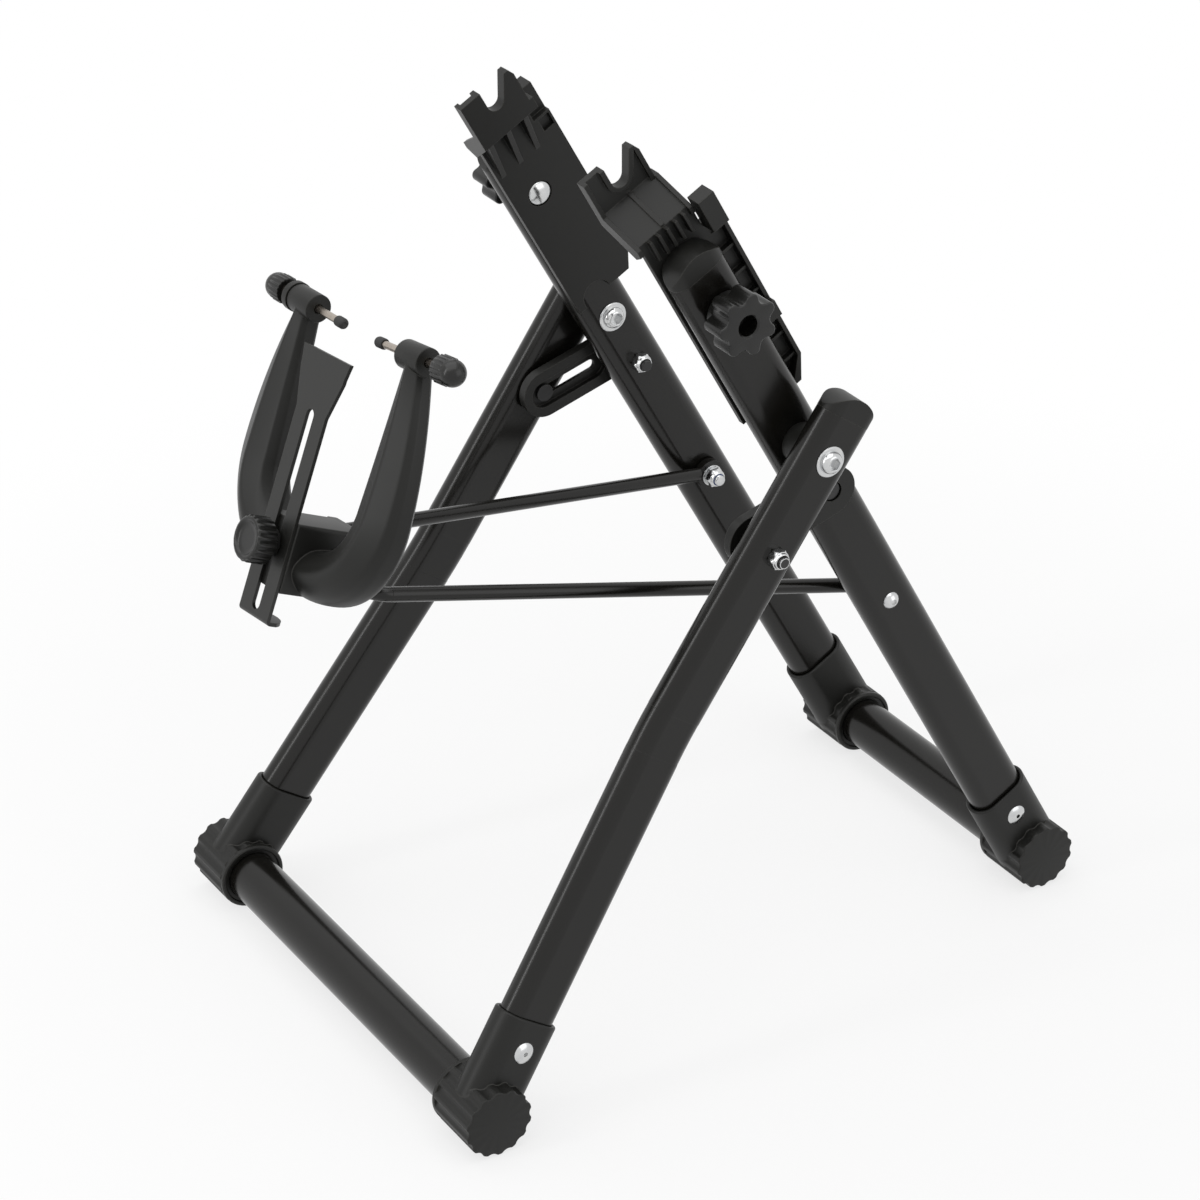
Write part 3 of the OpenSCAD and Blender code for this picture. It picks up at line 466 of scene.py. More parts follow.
def node(
    tree: bpy.types.NodeTree,
    kind: str,
    settings: Optional[Dict[str, Any]] = None,
    links: Optional[Dict[str, bpy.types.NodeSocket]] = None,
) -> bpy.types.Node:
    """Adds one node with its settings and the links into it.

    Args:
        tree: Node tree that the node goes into.
        kind: Node type, such as "ShaderNodeTexNoise".
        settings: Values by name. A name with the form "in:Socket" sets an input socket, which
            is named or numbered.
        links: Output sockets by the name of the input that each feeds.

    Returns:
        The new node.
    """
    made = tree.nodes.new(kind)
    for name, value in (settings or {}).items():
        if name.startswith("in:"):
            made.inputs[socket_key(name[3:])].default_value = value
        else:
            setattr(made, name, value)
    for name, socket in (links or {}).items():
        tree.links.new(socket, made.inputs[socket_key(name)])
    return made


@dataclass(frozen=True)
class Finish:
    """How one real surface looks. Grain sizes are in millimetres and colours in sRGB hex.

    The grain is a fine noise that tilts the surface, the cloud is a slow change of colour and
    roughness over the piece, and the edge is the thin rounding that catches the light. Where an
    edge highlight colour is given, a painted highlight lightens that rounding as well.
    """

    name: str
    colour: str
    cloud_colour: str
    roughness: float
    roughness_spread: float = 0.06
    metallic: float = 0.0
    ior: Optional[float] = 1.5
    grain_mm: float = 0.5
    grain_depth_mm: float = 0.012
    cloud_mm: float = 40.0
    edge_mm: float = 0.4
    edge_highlight_colour: Optional[str] = None
    edge_highlight_share: float = 0.5
    specular: float = 0.5

    def material(self) -> bpy.types.Material:
        """Builds the material once and gives the same one each time after."""
        found = bpy.data.materials.get(self.name)
        if found is not None:
            return found
        made = bpy.data.materials.new(self.name)
        made.use_nodes = True
        made.node_tree.nodes.clear()
        self.dress(made.node_tree)
        return made

    def dress(self, tree: bpy.types.NodeTree) -> None:
        """Lays out the nodes of the finish.

        Args:
            tree: Empty node tree of the material.
        """
        place = node(tree, "ShaderNodeTexCoord").outputs["Object"]
        cloud = self.cloud(tree, place)
        colour = node(tree, "ShaderNodeMix", {
            "data_type": "RGBA", "in:6": linear(self.colour), "in:7": linear(self.cloud_colour),
        }, {"0": cloud})
        rough = node(
            tree,
            "ShaderNodeMapRange",
            {
                "in:To Min": self.roughness - self.roughness_spread,
                "in:To Max": self.roughness + self.roughness_spread,
            },
            {"Value": cloud},
        )
        rounded = node(tree, "ShaderNodeBevel", {"samples": 4, "in:Radius": self.edge_mm * MM})
        bump = self.grain(tree, place, rounded.outputs["Normal"])
        painted = self.painted_edge_highlight(tree, colour.outputs[2], rounded.outputs["Normal"])
        settings = {"in:Metallic": self.metallic, "in:Specular IOR Level": self.specular}
        if self.ior is not None:
            settings["in:IOR"] = self.ior
        surface = node(
            tree,
            "ShaderNodeBsdfPrincipled",
            settings,
            {"Base Color": painted, "Roughness": rough.outputs["Result"], "Normal": bump},
        )
        node(tree, "ShaderNodeOutputMaterial", {}, {"Surface": surface.outputs["BSDF"]})

    def cloud(self, tree: bpy.types.NodeTree, place: bpy.types.NodeSocket) -> bpy.types.NodeSocket:
        """Adds the slow change over the piece and gives its value from 0 to 1."""
        settings = {"in:Scale": 1 / (self.cloud_mm * MM), "in:Detail": 3.0}
        return node(tree, "ShaderNodeTexNoise", settings, {"Vector": place}).outputs["Fac"]

    def grain(
        self,
        tree: bpy.types.NodeTree,
        place: bpy.types.NodeSocket,
        normal: bpy.types.NodeSocket,
    ) -> bpy.types.NodeSocket:
        """Adds the fine grain as a bump over the rounded edges and gives the tilted normal."""
        settings = {"in:Scale": 1 / (self.grain_mm * MM), "in:Detail": 2.0}
        noise = node(tree, "ShaderNodeTexNoise", settings, {"Vector": place})
        tilt = {"in:Strength": 1.0, "in:Distance": self.grain_depth_mm * MM}
        links = {"Height": noise.outputs["Fac"], "Normal": normal}
        return node(tree, "ShaderNodeBump", tilt, links).outputs["Normal"]

    def painted_edge_highlight(
        self,
        tree: bpy.types.NodeTree,
        colour: bpy.types.NodeSocket,
        normal: bpy.types.NodeSocket,
    ) -> bpy.types.NodeSocket:
        """Lightens the edges with a painted highlight, and gives the colour.

        The edge is where the rounded normal departs from the flat one: their product falls below 1.
        """
        if self.edge_highlight_colour is None:
            return colour
        flat = node(tree, "ShaderNodeNewGeometry").outputs["Normal"]
        links = {"0": normal, "1": flat}
        product = node(tree, "ShaderNodeVectorMath", {"operation": "DOT_PRODUCT"}, links)
        edge = node(
            tree,
            "ShaderNodeMapRange",
            {"in:From Min": 0.98, "in:From Max": 0.75, "in:To Max": self.edge_highlight_share},
            {"Value": product.outputs["Value"]},
        )
        settings = {"data_type": "RGBA", "in:7": linear(self.edge_highlight_colour)}
        links = {"0": edge.outputs["Result"], "6": colour}
        return node(tree, "ShaderNodeMix", settings, links).outputs[2]


# Steel tube with a baked powder coat: satin, with the faint orange peel of the melted powder.
# Its lighter edge colour is a painted highlight along the edges.
POWDER_COAT = Finish(
    "satin_powder_coat_on_steel", "#100f0d", "#141310", 0.22, grain_mm=1.4, grain_depth_mm=0.004,
    edge_mm=0.5, edge_highlight_colour="#34332f", edge_highlight_share=0.4, specular=0.34,
)
# Glass-filled nylon from a spark-eroded mould: matt, fine grained, with a painted highlight along
# its edges.
MOULDED_NYLON = Finish(
    "moulded_glass_filled_nylon", "#131311", "#191917", 0.42, grain_mm=0.6, grain_depth_mm=0.014,
    edge_mm=0.8, edge_highlight_colour="#45433d", edge_highlight_share=0.55, specular=0.3,
)
# ABS of the hand knobs: the same mould grain, a little smoother where fingers hold it.
# Its lighter edge colour is a painted highlight along the edges.
MOULDED_ABS = Finish(
    "moulded_abs", "#10100f", "#151513", 0.28, grain_mm=0.5, grain_depth_mm=0.008,
    edge_mm=0.35, edge_highlight_colour="#45433d", edge_highlight_share=0.5, specular=0.4,
)
# Sheet steel plate, blanked and painted: flat, with painted highlights along its cut edges.
PAINTED_SHEET = Finish(
    "satin_paint_on_sheet_steel", "#171715", "#1c1c1a", 0.42, grain_mm=0.8, grain_depth_mm=0.006,
    edge_mm=0.3, edge_highlight_colour="#504e48", edge_highlight_share=0.6, specular=0.4,
)
# Black oxide on the heads of the fold links' pins: near black, with an oily satin shine.
# Its lighter edge colour is a painted highlight along the edges.
BLACK_OXIDE = Finish(
    "black_oxide_on_steel", "#141414", "#1b1b1c", 0.3, grain_mm=0.4,
    grain_depth_mm=0.004, cloud_mm=6.0, edge_mm=0.3, edge_highlight_colour="#4b4a48", edge_highlight_share=0.5,
)
# Screws and rivets plated with bright zinc: a hard silver shine with a slight milky cloud.
BRIGHT_ZINC = Finish(
    "bright_zinc_on_steel", "#d6d6d4", "#b9bbbe", 0.2, roughness_spread=0.08, metallic=1.0,
    ior=None, grain_mm=0.4, grain_depth_mm=0.004, cloud_mm=5.0, edge_mm=0.3,
)
# Dyed nylon of the locking ring in the rod's nuts.
BLUE_NYLON = Finish(
    "blue_dyed_nylon", "#1c3f7d", "#264d8e", 0.4, grain_mm=0.3, grain_depth_mm=0.004, cloud_mm=3.0,
    edge_mm=0.2,
)
# Ground stainless rod of the feelers: warm grey, with the fine lines of centreless grinding.
GROUND_STEEL = Finish(
    "ground_stainless_steel", "#b7aea4", "#9c948b", 0.28, metallic=1.0, ior=None,
    grain_mm=0.3, grain_depth_mm=0.005, cloud_mm=3.0, edge_mm=0.2,
)
# Dipped rubber of the feeler tips: dead matt with a soft bloom.
# Its lighter edge colour is a painted highlight along the edges.
TIP_RUBBER = Finish(
    "moulded_rubber", "#1c1c1c", "#282827", 0.7, ior=1.52, grain_mm=0.4, grain_depth_mm=0.01,
    cloud_mm=4.0, edge_mm=0.3, edge_highlight_colour="#4b4a48", edge_highlight_share=0.5,
)


# Pieces


def lay(
    name: str,
    shells: Sequence[Shell],
    finish: Finish,
    body: str,
    replaced: Sequence[str] = (),
    sharp: float = 40.0,
) -> bpy.types.Object:
    """Puts shells into one mesh object that rides on a body of the stand.

    Args:
        name: Name of the piece.
        shells: Closed surfaces in the row frame, in millimetres.
        finish: Finish of the whole piece.
        body: Body that the piece moves with.
        replaced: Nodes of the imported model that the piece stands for.
        sharp: Angle in degrees above which an edge stays sharp.

    Returns:
        The new object.
    """
    starts = np.cumsum([0] + [len(s.points) for s in shells])[:-1]
    points = np.concatenate([s.points for s in shells]) * MM
    faces: List[List[int]] = []
    for shell, start in zip(shells, starts):
        faces += (shell.quads + start).tolist() + (shell.triangles + start).tolist()
    mesh = bpy.data.meshes.new(name)
    mesh.from_pydata(points.tolist(), [], faces)
    mesh.polygons.foreach_set("use_smooth", np.ones(len(mesh.polygons), bool))
    mesh.set_sharp_from_angle(angle=math.radians(sharp))
    mesh.materials.append(finish.material())
    piece = bpy.data.objects.new(name, mesh)
    bpy.context.scene.collection.objects.link(piece)
    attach(piece, body)
    if replaced:
        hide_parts(*replaced)
    LOG.info("%s: %d points, %d faces", name, len(points), len(faces))
    return piece


def dress(nodes: Sequence[str], finish: Finish) -> None:
    """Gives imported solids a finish.

    Args:
        nodes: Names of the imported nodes.
        finish: Finish that fills their material slots.
    """
    for name in nodes:
        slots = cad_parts[name].material_slots
        if not slots:
            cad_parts[name].data.materials.append(finish.material())
        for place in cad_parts[name].material_slots:
            place.material = finish.material()
        LOG.info("%s: %s", name, finish.name)


@dataclass
class SteelFrames:
    """The tubes of the fork and the support frame, the rod and the plated hardware."""

    tubes: Tuple[str, ...] = (
        "fork_leg_left", "fork_leg_right", "support_leg_left", "support_leg_right",
        "rear_cross_tube", "front_cross_tube", "arm_rod",
    )
    plated: Tuple[str, ...] = (
        "arm_bolts", "arm_spacers", "knob_washers", "slot_bolts", "clamp_stud", "rear_rivets",
        "front_rivets", "carriage_bolt_left", "carriage_bolt_right",
    )
    mouldings: Tuple[str, ...] = (
        "fork_cap_left", "fork_cap_right", "support_cap_left", "support_cap_right",
        "pivot_spacers", "link_left", "link_right", "clamp_block", "feeler_collar",
        "hub_bracket_left", "hub_bracket_right",
    )

    def build(self) -> None:
        """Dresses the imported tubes, hardware and brackets."""
        dress(self.tubes, POWDER_COAT)
        dress(self.plated, BRIGHT_ZINC)
        dress(self.mouldings, MOULDED_NYLON)
        dress(("gauge_plate",), PAINTED_SHEET)
        dress(("slot_pin_left", "slot_pin_right", "link_bolts"), BLACK_OXIDE)
        dress(("feeler_pin_left", "feeler_pin_right"), GROUND_STEEL)


@dataclass
class Foot:
    """One moulded foot: a scalloped barrel on the cross tube and a collar for the leg."""

    name: str
    body: str
    placement: np.ndarray
    tilt: float
    lean: float
    lobes: int = 14
    scallop: float = 1.3
    scallop_r: float = 4.6
    outer: float = 18
    inner: float = 19
    ring: float = 3
    ring_inset: float = 0.2
    wall: float = 2.5
    fit: float = 0.15
    cross_d: float = 28.6
    end_wall: float = 3
    collar_rise: float = 53
    edge: float = 0.7
    places_per_lobe: int = 28

    def outline(self) -> np.ndarray:
        """Gives the barrel's outline: flat lands and a round scallop between each pair.

        At an angle from the middle of a land the land lies at the foot's radius divided by the
        cosine. The scallop is the near side of a circle centred outside the corner. The outline is
        the smaller of the two, softened as the mould's radius would.
        """
        r = STANCE.foot_d / 2
        count = self.lobes * self.places_per_lobe
        angle = np.arange(count) * FULL_TURN / count
        step = FULL_TURN / self.lobes
        start = math.radians(self.tilt - 90)
        from_land = (angle - start + step / 2) % step - step / 2
        land = r / np.cos(from_land)
        from_corner = step / 2 - np.abs(from_land)
        centre = r - self.scallop + self.scallop_r
        across = self.scallop_r**2 - (centre * np.sin(from_corner)) ** 2
        near = centre * np.cos(from_corner) - np.sqrt(np.maximum(across, 0))
        radii = np.where(across > 0, np.minimum(land, near), land)
        return polar(softened(radii, 3))

    def barrel(self) -> Shell:
        """Builds the barrel, from the floor of its bore, out of the mouth and round to its end."""
        outline = self.outline()
        places = len(outline)
        bore = self.cross_d / 2 + self.fit
        rim = STANCE.foot_d / 2 - self.ring_inset
        ring_end = self.ring - self.inner
        round_rows = [
            (bore, self.outer - self.end_wall), (bore, 1.5 - self.inner),
            (self.cross_d / 2 + self.wall, 1.2 - self.inner),
            (self.cross_d / 2 + self.wall, 0.4 - self.inner),
            (self.cross_d / 2 + self.wall + 0.4, -self.inner),
            (rim - self.edge, -self.inner), (rim, self.edge - self.inner),
            (rim, ring_end - 0.3), (rim - 0.3, ring_end),
        ]
        unit = circle(1.0, places)
        rings = [ring(unit, r, y) for r, y in round_rows]
        body = [(0.0, ring_end + 0.01), (0.0, self.outer - self.edge)]
        lobed = carried(outline, np.concatenate([body, round_edge(self.edge, 0, self.outer, True)]))
        return stacked(np.concatenate([rings, lobed])).along_y()

    def collar(self) -> Shell:
        """Builds the collar: a flat oval wall with a rounded rim, open above the leg's end."""
        outline = stadium(STANCE.leg_w + 2 * self.wall, STANCE.leg_t + 2 * self.wall)
        bore = self.wall - self.fit
        floor = self.cross_d / 2 + self.wall
        lip = (bore - 0.1) / 2
        profile = np.concatenate([
            [(0.0, 0.0), (0.0, self.collar_rise - lip)],
            round_edge(lip, 0, self.collar_rise, rising=True)[1:],
            round_edge(lip, 0, self.collar_rise, rising=True)[::-1][1:] * (-1, 1) + (bore, 0),
            [(bore, floor)],
        ])
        rings = carried(outline, profile)
        lean = turn(Axis.X, self.lean)
        return stacked(rings).placed(lean)

    def build(self) -> None:
        """Builds the foot and lays it in place of its solid."""
        shells = [self.barrel().placed(self.placement), self.collar().placed(self.placement)]
        lay(self.name + "_moulding", shells, MOULDED_NYLON, self.body,
            [self.name])


@dataclass
class Feet:
    """The four feet of the stand."""

    def build(self) -> None:
        """Builds the rear feet on the fork and the front feet on the support frame."""
        for side in Side:
            rear = STANCE.on_fork(side) @ shift(0, STANCE.fork_y, -STANCE.fork_reach)
            Foot(f"rear_socket_{side.word}", "fork_frame", rear, -STANCE.fork_tilt, 0).build()
            front = STANCE.on_support(side)
            front = front @ shift(0, STANCE.front_foot_y, -STANCE.support_reach)
            Foot(
                f"front_socket_{side.word}", "support_frame", front, STANCE.support_tilt,
                STANCE.support_splay,
            ).build()


@dataclass
class CaliperBody:
    """The U of the caliper: its two arms, the pad on its base and the bosses of the feelers."""

    floor: float = 11
    bottom: float = -16
    inner_half: float = 43
    inner_r: float = 30
    inner_top: float = 48
    outer_half: float = 74
    outer_r: float = 60
    outer_top: float = 58
    back_base: float = -2
    back_top: float = -18
    front_base: float = -37
    front_top: float = -30.6
    boss_d: float = 15
    boss_len: float = 20
    pin_d: float = 4
    countersink: float = 0.5
    pad_w: float = 30
    pad_low: float = -15
    pad_high: float = 22
    pad_front: float = -38.5
    base_end: float = 1
    corner_end: float = 9
    arm_end: float = 14
    ridge_start: float = 3
    ridge_run: float = 5
    steps_per_half: int = 90
    section: Tuple[Tuple[float, float], ...] = (
        (0.1, 0), (0, 0.15), (0, 0.55), (0.1, 0.8), (0.5, 1.02),
        (0.92, 0.72), (1, 0.5), (1, 0.15), (0.9, 0),
    )

    def edge(self, place: np.ndarray, floor: float, half: float, r: float, top: float,
             power: float) -> np.ndarray:
        """Gives one edge line of half the U as Y and Z.

        The place follows the level base up to base_end, a quarter circle up to corner_end, and the
        arm up to arm_end. The arm's Y goes from the half width to its top by a power of the share.

        Args:
            place: Places along the line.
            floor: Height of the base.
            half: Half width above the corner.
            r: Radius of the corner.
            top: Half width at the top of the arm.
            power: Power of the share by which the arm leans.

        Returns:
            Y and Z of shape (places, 2).
        """
        base = np.clip(place / self.base_end, 0, 1)
        turned_by = (place - self.base_end) / (self.corner_end - self.base_end)
        angle = np.radians(90 * np.clip(turned_by, 0, 1))
        share = np.clip((place - self.corner_end) / (self.arm_end - self.corner_end), 0, 1)
        y = (half - r) * base + r * np.sin(angle) + (top - half) * share**power
        z = floor + r * (1 - np.cos(angle)) + (STANCE.feeler_rise - floor - r) * share
        return np.stack([y, z], axis=-1)

    def arms(self) -> Shell:
        """Builds the U by carrying its section from one boss, through the base, to the other.

        The section is a closed outline of shares: across from the inner edge line to the outer one
        and forward from the back to the front. Its ridge is sharp on the arms and fades below.
        """
        place = np.linspace(-self.arm_end, self.arm_end, 2 * self.steps_per_half + 1)
        reach, side = np.abs(place), np.where(place < 0, -1.0, 1.0)
        inner = self.edge(reach, self.floor, self.inner_half, self.inner_r, self.inner_top, 1)
        outer = self.edge(reach, self.bottom, self.outer_half, self.outer_r, self.outer_top, 2)
        back = self.back_base + (self.back_top - self.back_base) * reach / self.arm_end
        front = self.front_base + (self.front_top - self.front_base) * reach / self.arm_end
        crisp = cornered(np.array(self.section), 0.12)
        soft = cornered(np.array(self.section), 0.5)
        blend = np.clip((reach - self.ridge_start) / self.ridge_run, 0, 1)
        blend = (blend * blend * (3 - 2 * blend))[:, None, None]
        shares = soft[None] * (1 - blend) + crisp[None] * blend
        across = inner[:, None] + (outer - inner)[:, None] * shares[..., :1]
        x = back[:, None] + (front - back)[:, None] * shares[..., 1]
        return stacked(np.stack([x, side[:, None] * across[..., 0], across[..., 1]], axis=-1))

    def pad(self) -> Shell:
        """Builds the flat pad that the gauge plate slides on, with rounded edges."""
        corners = np.array([
            (-self.pad_w / 2, self.pad_low), (self.pad_w / 2, self.pad_low),
            (self.pad_w / 2, self.pad_high), (-self.pad_w / 2, self.pad_high),
        ])
        profile = np.concatenate([
            [(0.0, -self.back_base - 0.5)], round_edge(0.6, 0, -self.pad_front, rising=True)
        ])
        shell = stacked(carried(cornered(corners, 0.06), profile))
        shell.points = np.stack([-shell.points[:, 2], shell.points[:, 0], shell.points[:, 1]], -1)
        return shell

    def boss(self) -> Shell:
        """Builds the boss of a feeler along +Y, with the bore's countersink in both faces."""
        r, half, bore = self.boss_d / 2, self.boss_len / 2, self.pin_d / 2 + 0.08
        outside = rounded_turning(r, -half, half, 0.5)
        mouth, depth = bore + self.countersink, half - 2 * self.countersink
        profile = [(bore, -depth), (mouth, -half), *outside, (mouth, half), (bore, depth)]
        return turned(profile, 72).along_y()

    def build(self) -> None:
        """Builds the caliper's body and lays it in place of its solid."""
        place = STANCE.on_caliper()
        shells = [self.arms().placed(place), self.pad().placed(place)]
        shells += [self.boss().placed(STANCE.on_feeler(side)) for side in Side]
        lay("caliper_moulding", shells, MOULDED_NYLON, "caliper",
            ["caliper_body"], sharp=28)


@dataclass
class RoundHead:
    """A domed screw head on a flat flange, with a hexagon socket."""

    flange_r: float = 8.5
    flange_t: float = 1.0
    dome_r: float = 6.2
    height: float = 4.6
    socket_w: float = 6
    socket_depth: float = 3.2
    socket_rim: float = 0.5
    places: int = 96

    def shell(self) -> Shell:
        """Builds the head along +Z from its seat, and the socket down into it."""
        unit = circle(1.0, self.places)
        edge = self.flange_t * 0.4
        shoulder = self.height - self.flange_t
        socket = hexagon(self.socket_w, self.places)
        mouth = socket.max() + self.socket_rim
        top_angle = math.acos(mouth / self.dome_r)
        lift = np.linspace(0, top_angle, 8)
        drop = math.sin(top_angle)
        rounds = [
            (self.flange_r, 0.0), (self.flange_r, self.flange_t - edge),
            (self.flange_r - edge, self.flange_t), (self.dome_r + 0.2, self.flange_t),
            *zip(self.dome_r * np.cos(lift), self.flange_t + shoulder * np.sin(lift) / drop),
            (mouth - 0.2, self.height),
            (socket, self.height - 0.15),
            (socket, self.height - self.socket_depth),
        ]
        return stacked(np.array([ring(unit, r, z) for r, z in rounds]))


@dataclass
class LockNut:
    """Hexagon lock nut: chamfered corners, a rolled crown and the nylon ring inside it."""

    across: float = 10
    height: float = 5
    crown: float = 1.6
    bolt_d: float = 6
    thread_out: float = 1.8
    places: int = 96

    def nut(self) -> Shell:
        """Builds the nut along +Z: at each height the smaller of the hexagon and a cone."""
        unit = circle(1.0, self.places)
        flats = hexagon(self.across, self.places)
        half, top = self.across / 2, self.height + self.crown
        corner = flats.max()
        rows = [
            (half - 0.3, 0.0), (half, 0.1), (corner, 0.8), (corner, self.height - 0.9),
            (half, self.height - 0.1), (half - 0.35, self.height), (half - 0.5, self.height + 0.3),
            (half - 0.6, top - 0.5), (half - 0.9, top - 0.1), (half - 1.2, top),
            (half - 1.45, top - 0.2), (half - 1.5, top - 0.6),
        ]
        return stacked(np.array([ring(unit, np.minimum(flats, r), z) for r, z in rows]))

    def insert(self) -> Shell:
        """Builds the nylon ring, which shows as a flat collar round the bolt."""
        r, top = self.across / 2 - 1.3, self.height + self.crown - 0.45
        bolt_r = self.bolt_d / 2
        return turned([(bolt_r, top - 1), (r, top - 1), (r, top), (bolt_r + 0.1, top + 0.1)])

    def bolt_end(self) -> Shell:
        """Builds the bolt's end: a dark cut face with a turned point."""
        r, top = self.bolt_d / 2 + 0.05, self.height + self.crown
        end = top + self.thread_out + 0.05
        return turned([(r, top - 1.2), (r, end - 0.6), (r - 0.5, end), (0.01, end)])


@dataclass
class Hardware:
    """The bolt heads and lock nuts that show on the legs, built finer than their solids."""

    bolt_shank_d: float = 8
    sleeve_d: float = 11
    washer_t: float = 1.2
    arm_eye_t: float = 4.5
    flange_face: float = 2.05
    carriage_head_r: float = 7.15
    carriage_rim: float = 0.5
    carriage_dome: float = 3.1

    def outward(self, y: float, z: float) -> np.ndarray:
        """Gives the frame whose +Z points outward from a face at Y, at a height along the leg."""
        return shift(0, y, z) @ turn(Axis.X, -90)

    def inward(self, y: float, z: float) -> np.ndarray:
        """Gives the frame whose +Z points inward from a face at Y, at a height along the leg."""
        return shift(0, y, z) @ turn(Axis.X, 90)

    def pivots(self) -> None:
        """Builds the heads of the folding pivots, outside and inside, and the shanks between."""
        head, outer, inner = RoundHead(), STANCE.support_outer, STANCE.fork_inner
        r = self.bolt_shank_d / 2
        shank = turned([(r, 0.0), (r, outer - inner)])
        sleeve = turned([(self.sleeve_d / 2, 0.0), (self.sleeve_d / 2, outer - inner - 0.5)])
        bolts, sleeves = [], []
        for side in Side:
            leg = STANCE.on_fork(side)
            bolts += [head.shell().placed(leg @ self.outward(outer, 0))]
            bolts += [shank.placed(leg @ self.outward(inner, 0))]
            sleeves += [head.shell().placed(leg @ self.inward(inner, 0))]
            sleeves += [sleeve.placed(leg @ self.outward(inner, 0))]
        lay("pivot_bolt_heads", bolts, BRIGHT_ZINC, "fork_frame", ["pivot_bolts"])
        lay("pivot_inner_heads", sleeves, BRIGHT_ZINC, "fork_frame",
            ["pivot_sleeves"])

    def nuts(self) -> None:
        """Builds the lock nuts of the fold links, of the rod and of the links' slots."""
        nut = LockNut()
        inner, eye = STANCE.fork_inner, STANCE.fork_inner - self.arm_eye_t - 2 * self.washer_t
        fork, support = STANCE.on_fork, STANCE.on_support
        link_at = self.inward(inner, -STANCE.link_drop)
        arm_at = self.inward(eye, -STANCE.arm_drop)
        slot_at = self.outward(STANCE.support_outer, -STANCE.slot_drop)
        sets = (
            ("link_nuts", "fork_frame", fork, link_at, MOULDED_NYLON, BLACK_OXIDE),
            ("arm_nuts", "fork_frame", fork, arm_at, BLUE_NYLON, BRIGHT_ZINC),
            ("slot_nuts", "support_frame", support, slot_at, MOULDED_NYLON, BLACK_OXIDE),
        )
        for name, body, leg, at, nylon, end in sets:
            forms = (
                ("_steel", nut.nut(), BRIGHT_ZINC, "plated_steel", [name]),
                ("_nylon", nut.insert(), nylon, "moulded_plastic", []),
                ("_bolt_ends", nut.bolt_end(), end, "plated_steel", []),
            )
            for ending, form, finish, slot, replaced in forms:
                shells = [form.placed(leg(side) @ at) for side in Side]
                lay(name + ending, shells, finish, body, replaced)

    def carriage_heads(self) -> None:
        """Builds the wide low domes of the carriage bolts, which fill their recesses."""
        for side in Side:
            face = STANCE.fork_inner - self.flange_face
            lift = np.linspace(0, math.pi / 2 - 0.05, 12)
            r, rim, dome = self.carriage_head_r, self.carriage_rim, self.carriage_dome
            rows = [(r, 0.0), *zip(r * np.cos(lift), rim + dome * np.sin(lift))]
            place = STANCE.on_fork(side) @ self.inward(face, STANCE.knob_rise)
            lay(f"carriage_head_{side.word}", [turned(rows).placed(place)], BRIGHT_ZINC,
                f"bracket_{side.word}")

    def build(self) -> None:
        """Builds all of the hardware."""
        self.pivots()
        self.nuts()
        self.carriage_heads()


@dataclass
class BracketWindow:
    """The thin floor of the square pocket near the top of a hub bracket's flange."""

    side: Side
    back: float = 26.7
    top: float = 134.7
    width: float = 7
    height: float = 8
    flange_depth: float = 1.4
    thickness: float = 0.6
    overlap: float = 0.3

    def build(self) -> None:
        """Lays the floor across the pocket, a little below the flange's outer face."""
        low, high = self.top - self.height - self.overlap, self.top + self.overlap
        front, back = self.back - self.width - self.overlap, self.back + self.overlap
        corners = np.array([(front, low), (back, low), (back, high), (front, high)])
        inner = STANCE.fork_inner - self.flange_depth
        profile = np.array([(0.0, inner), (0.0, inner + self.thickness)])
        shell = stacked(carried(corners, profile)).along_y()
        place = STANCE.on_fork(self.side)
        lay(f"bracket_pocket_floor_{self.side.word}", [shell.placed(place)], MOULDED_NYLON,
            f"bracket_{self.side.word}")


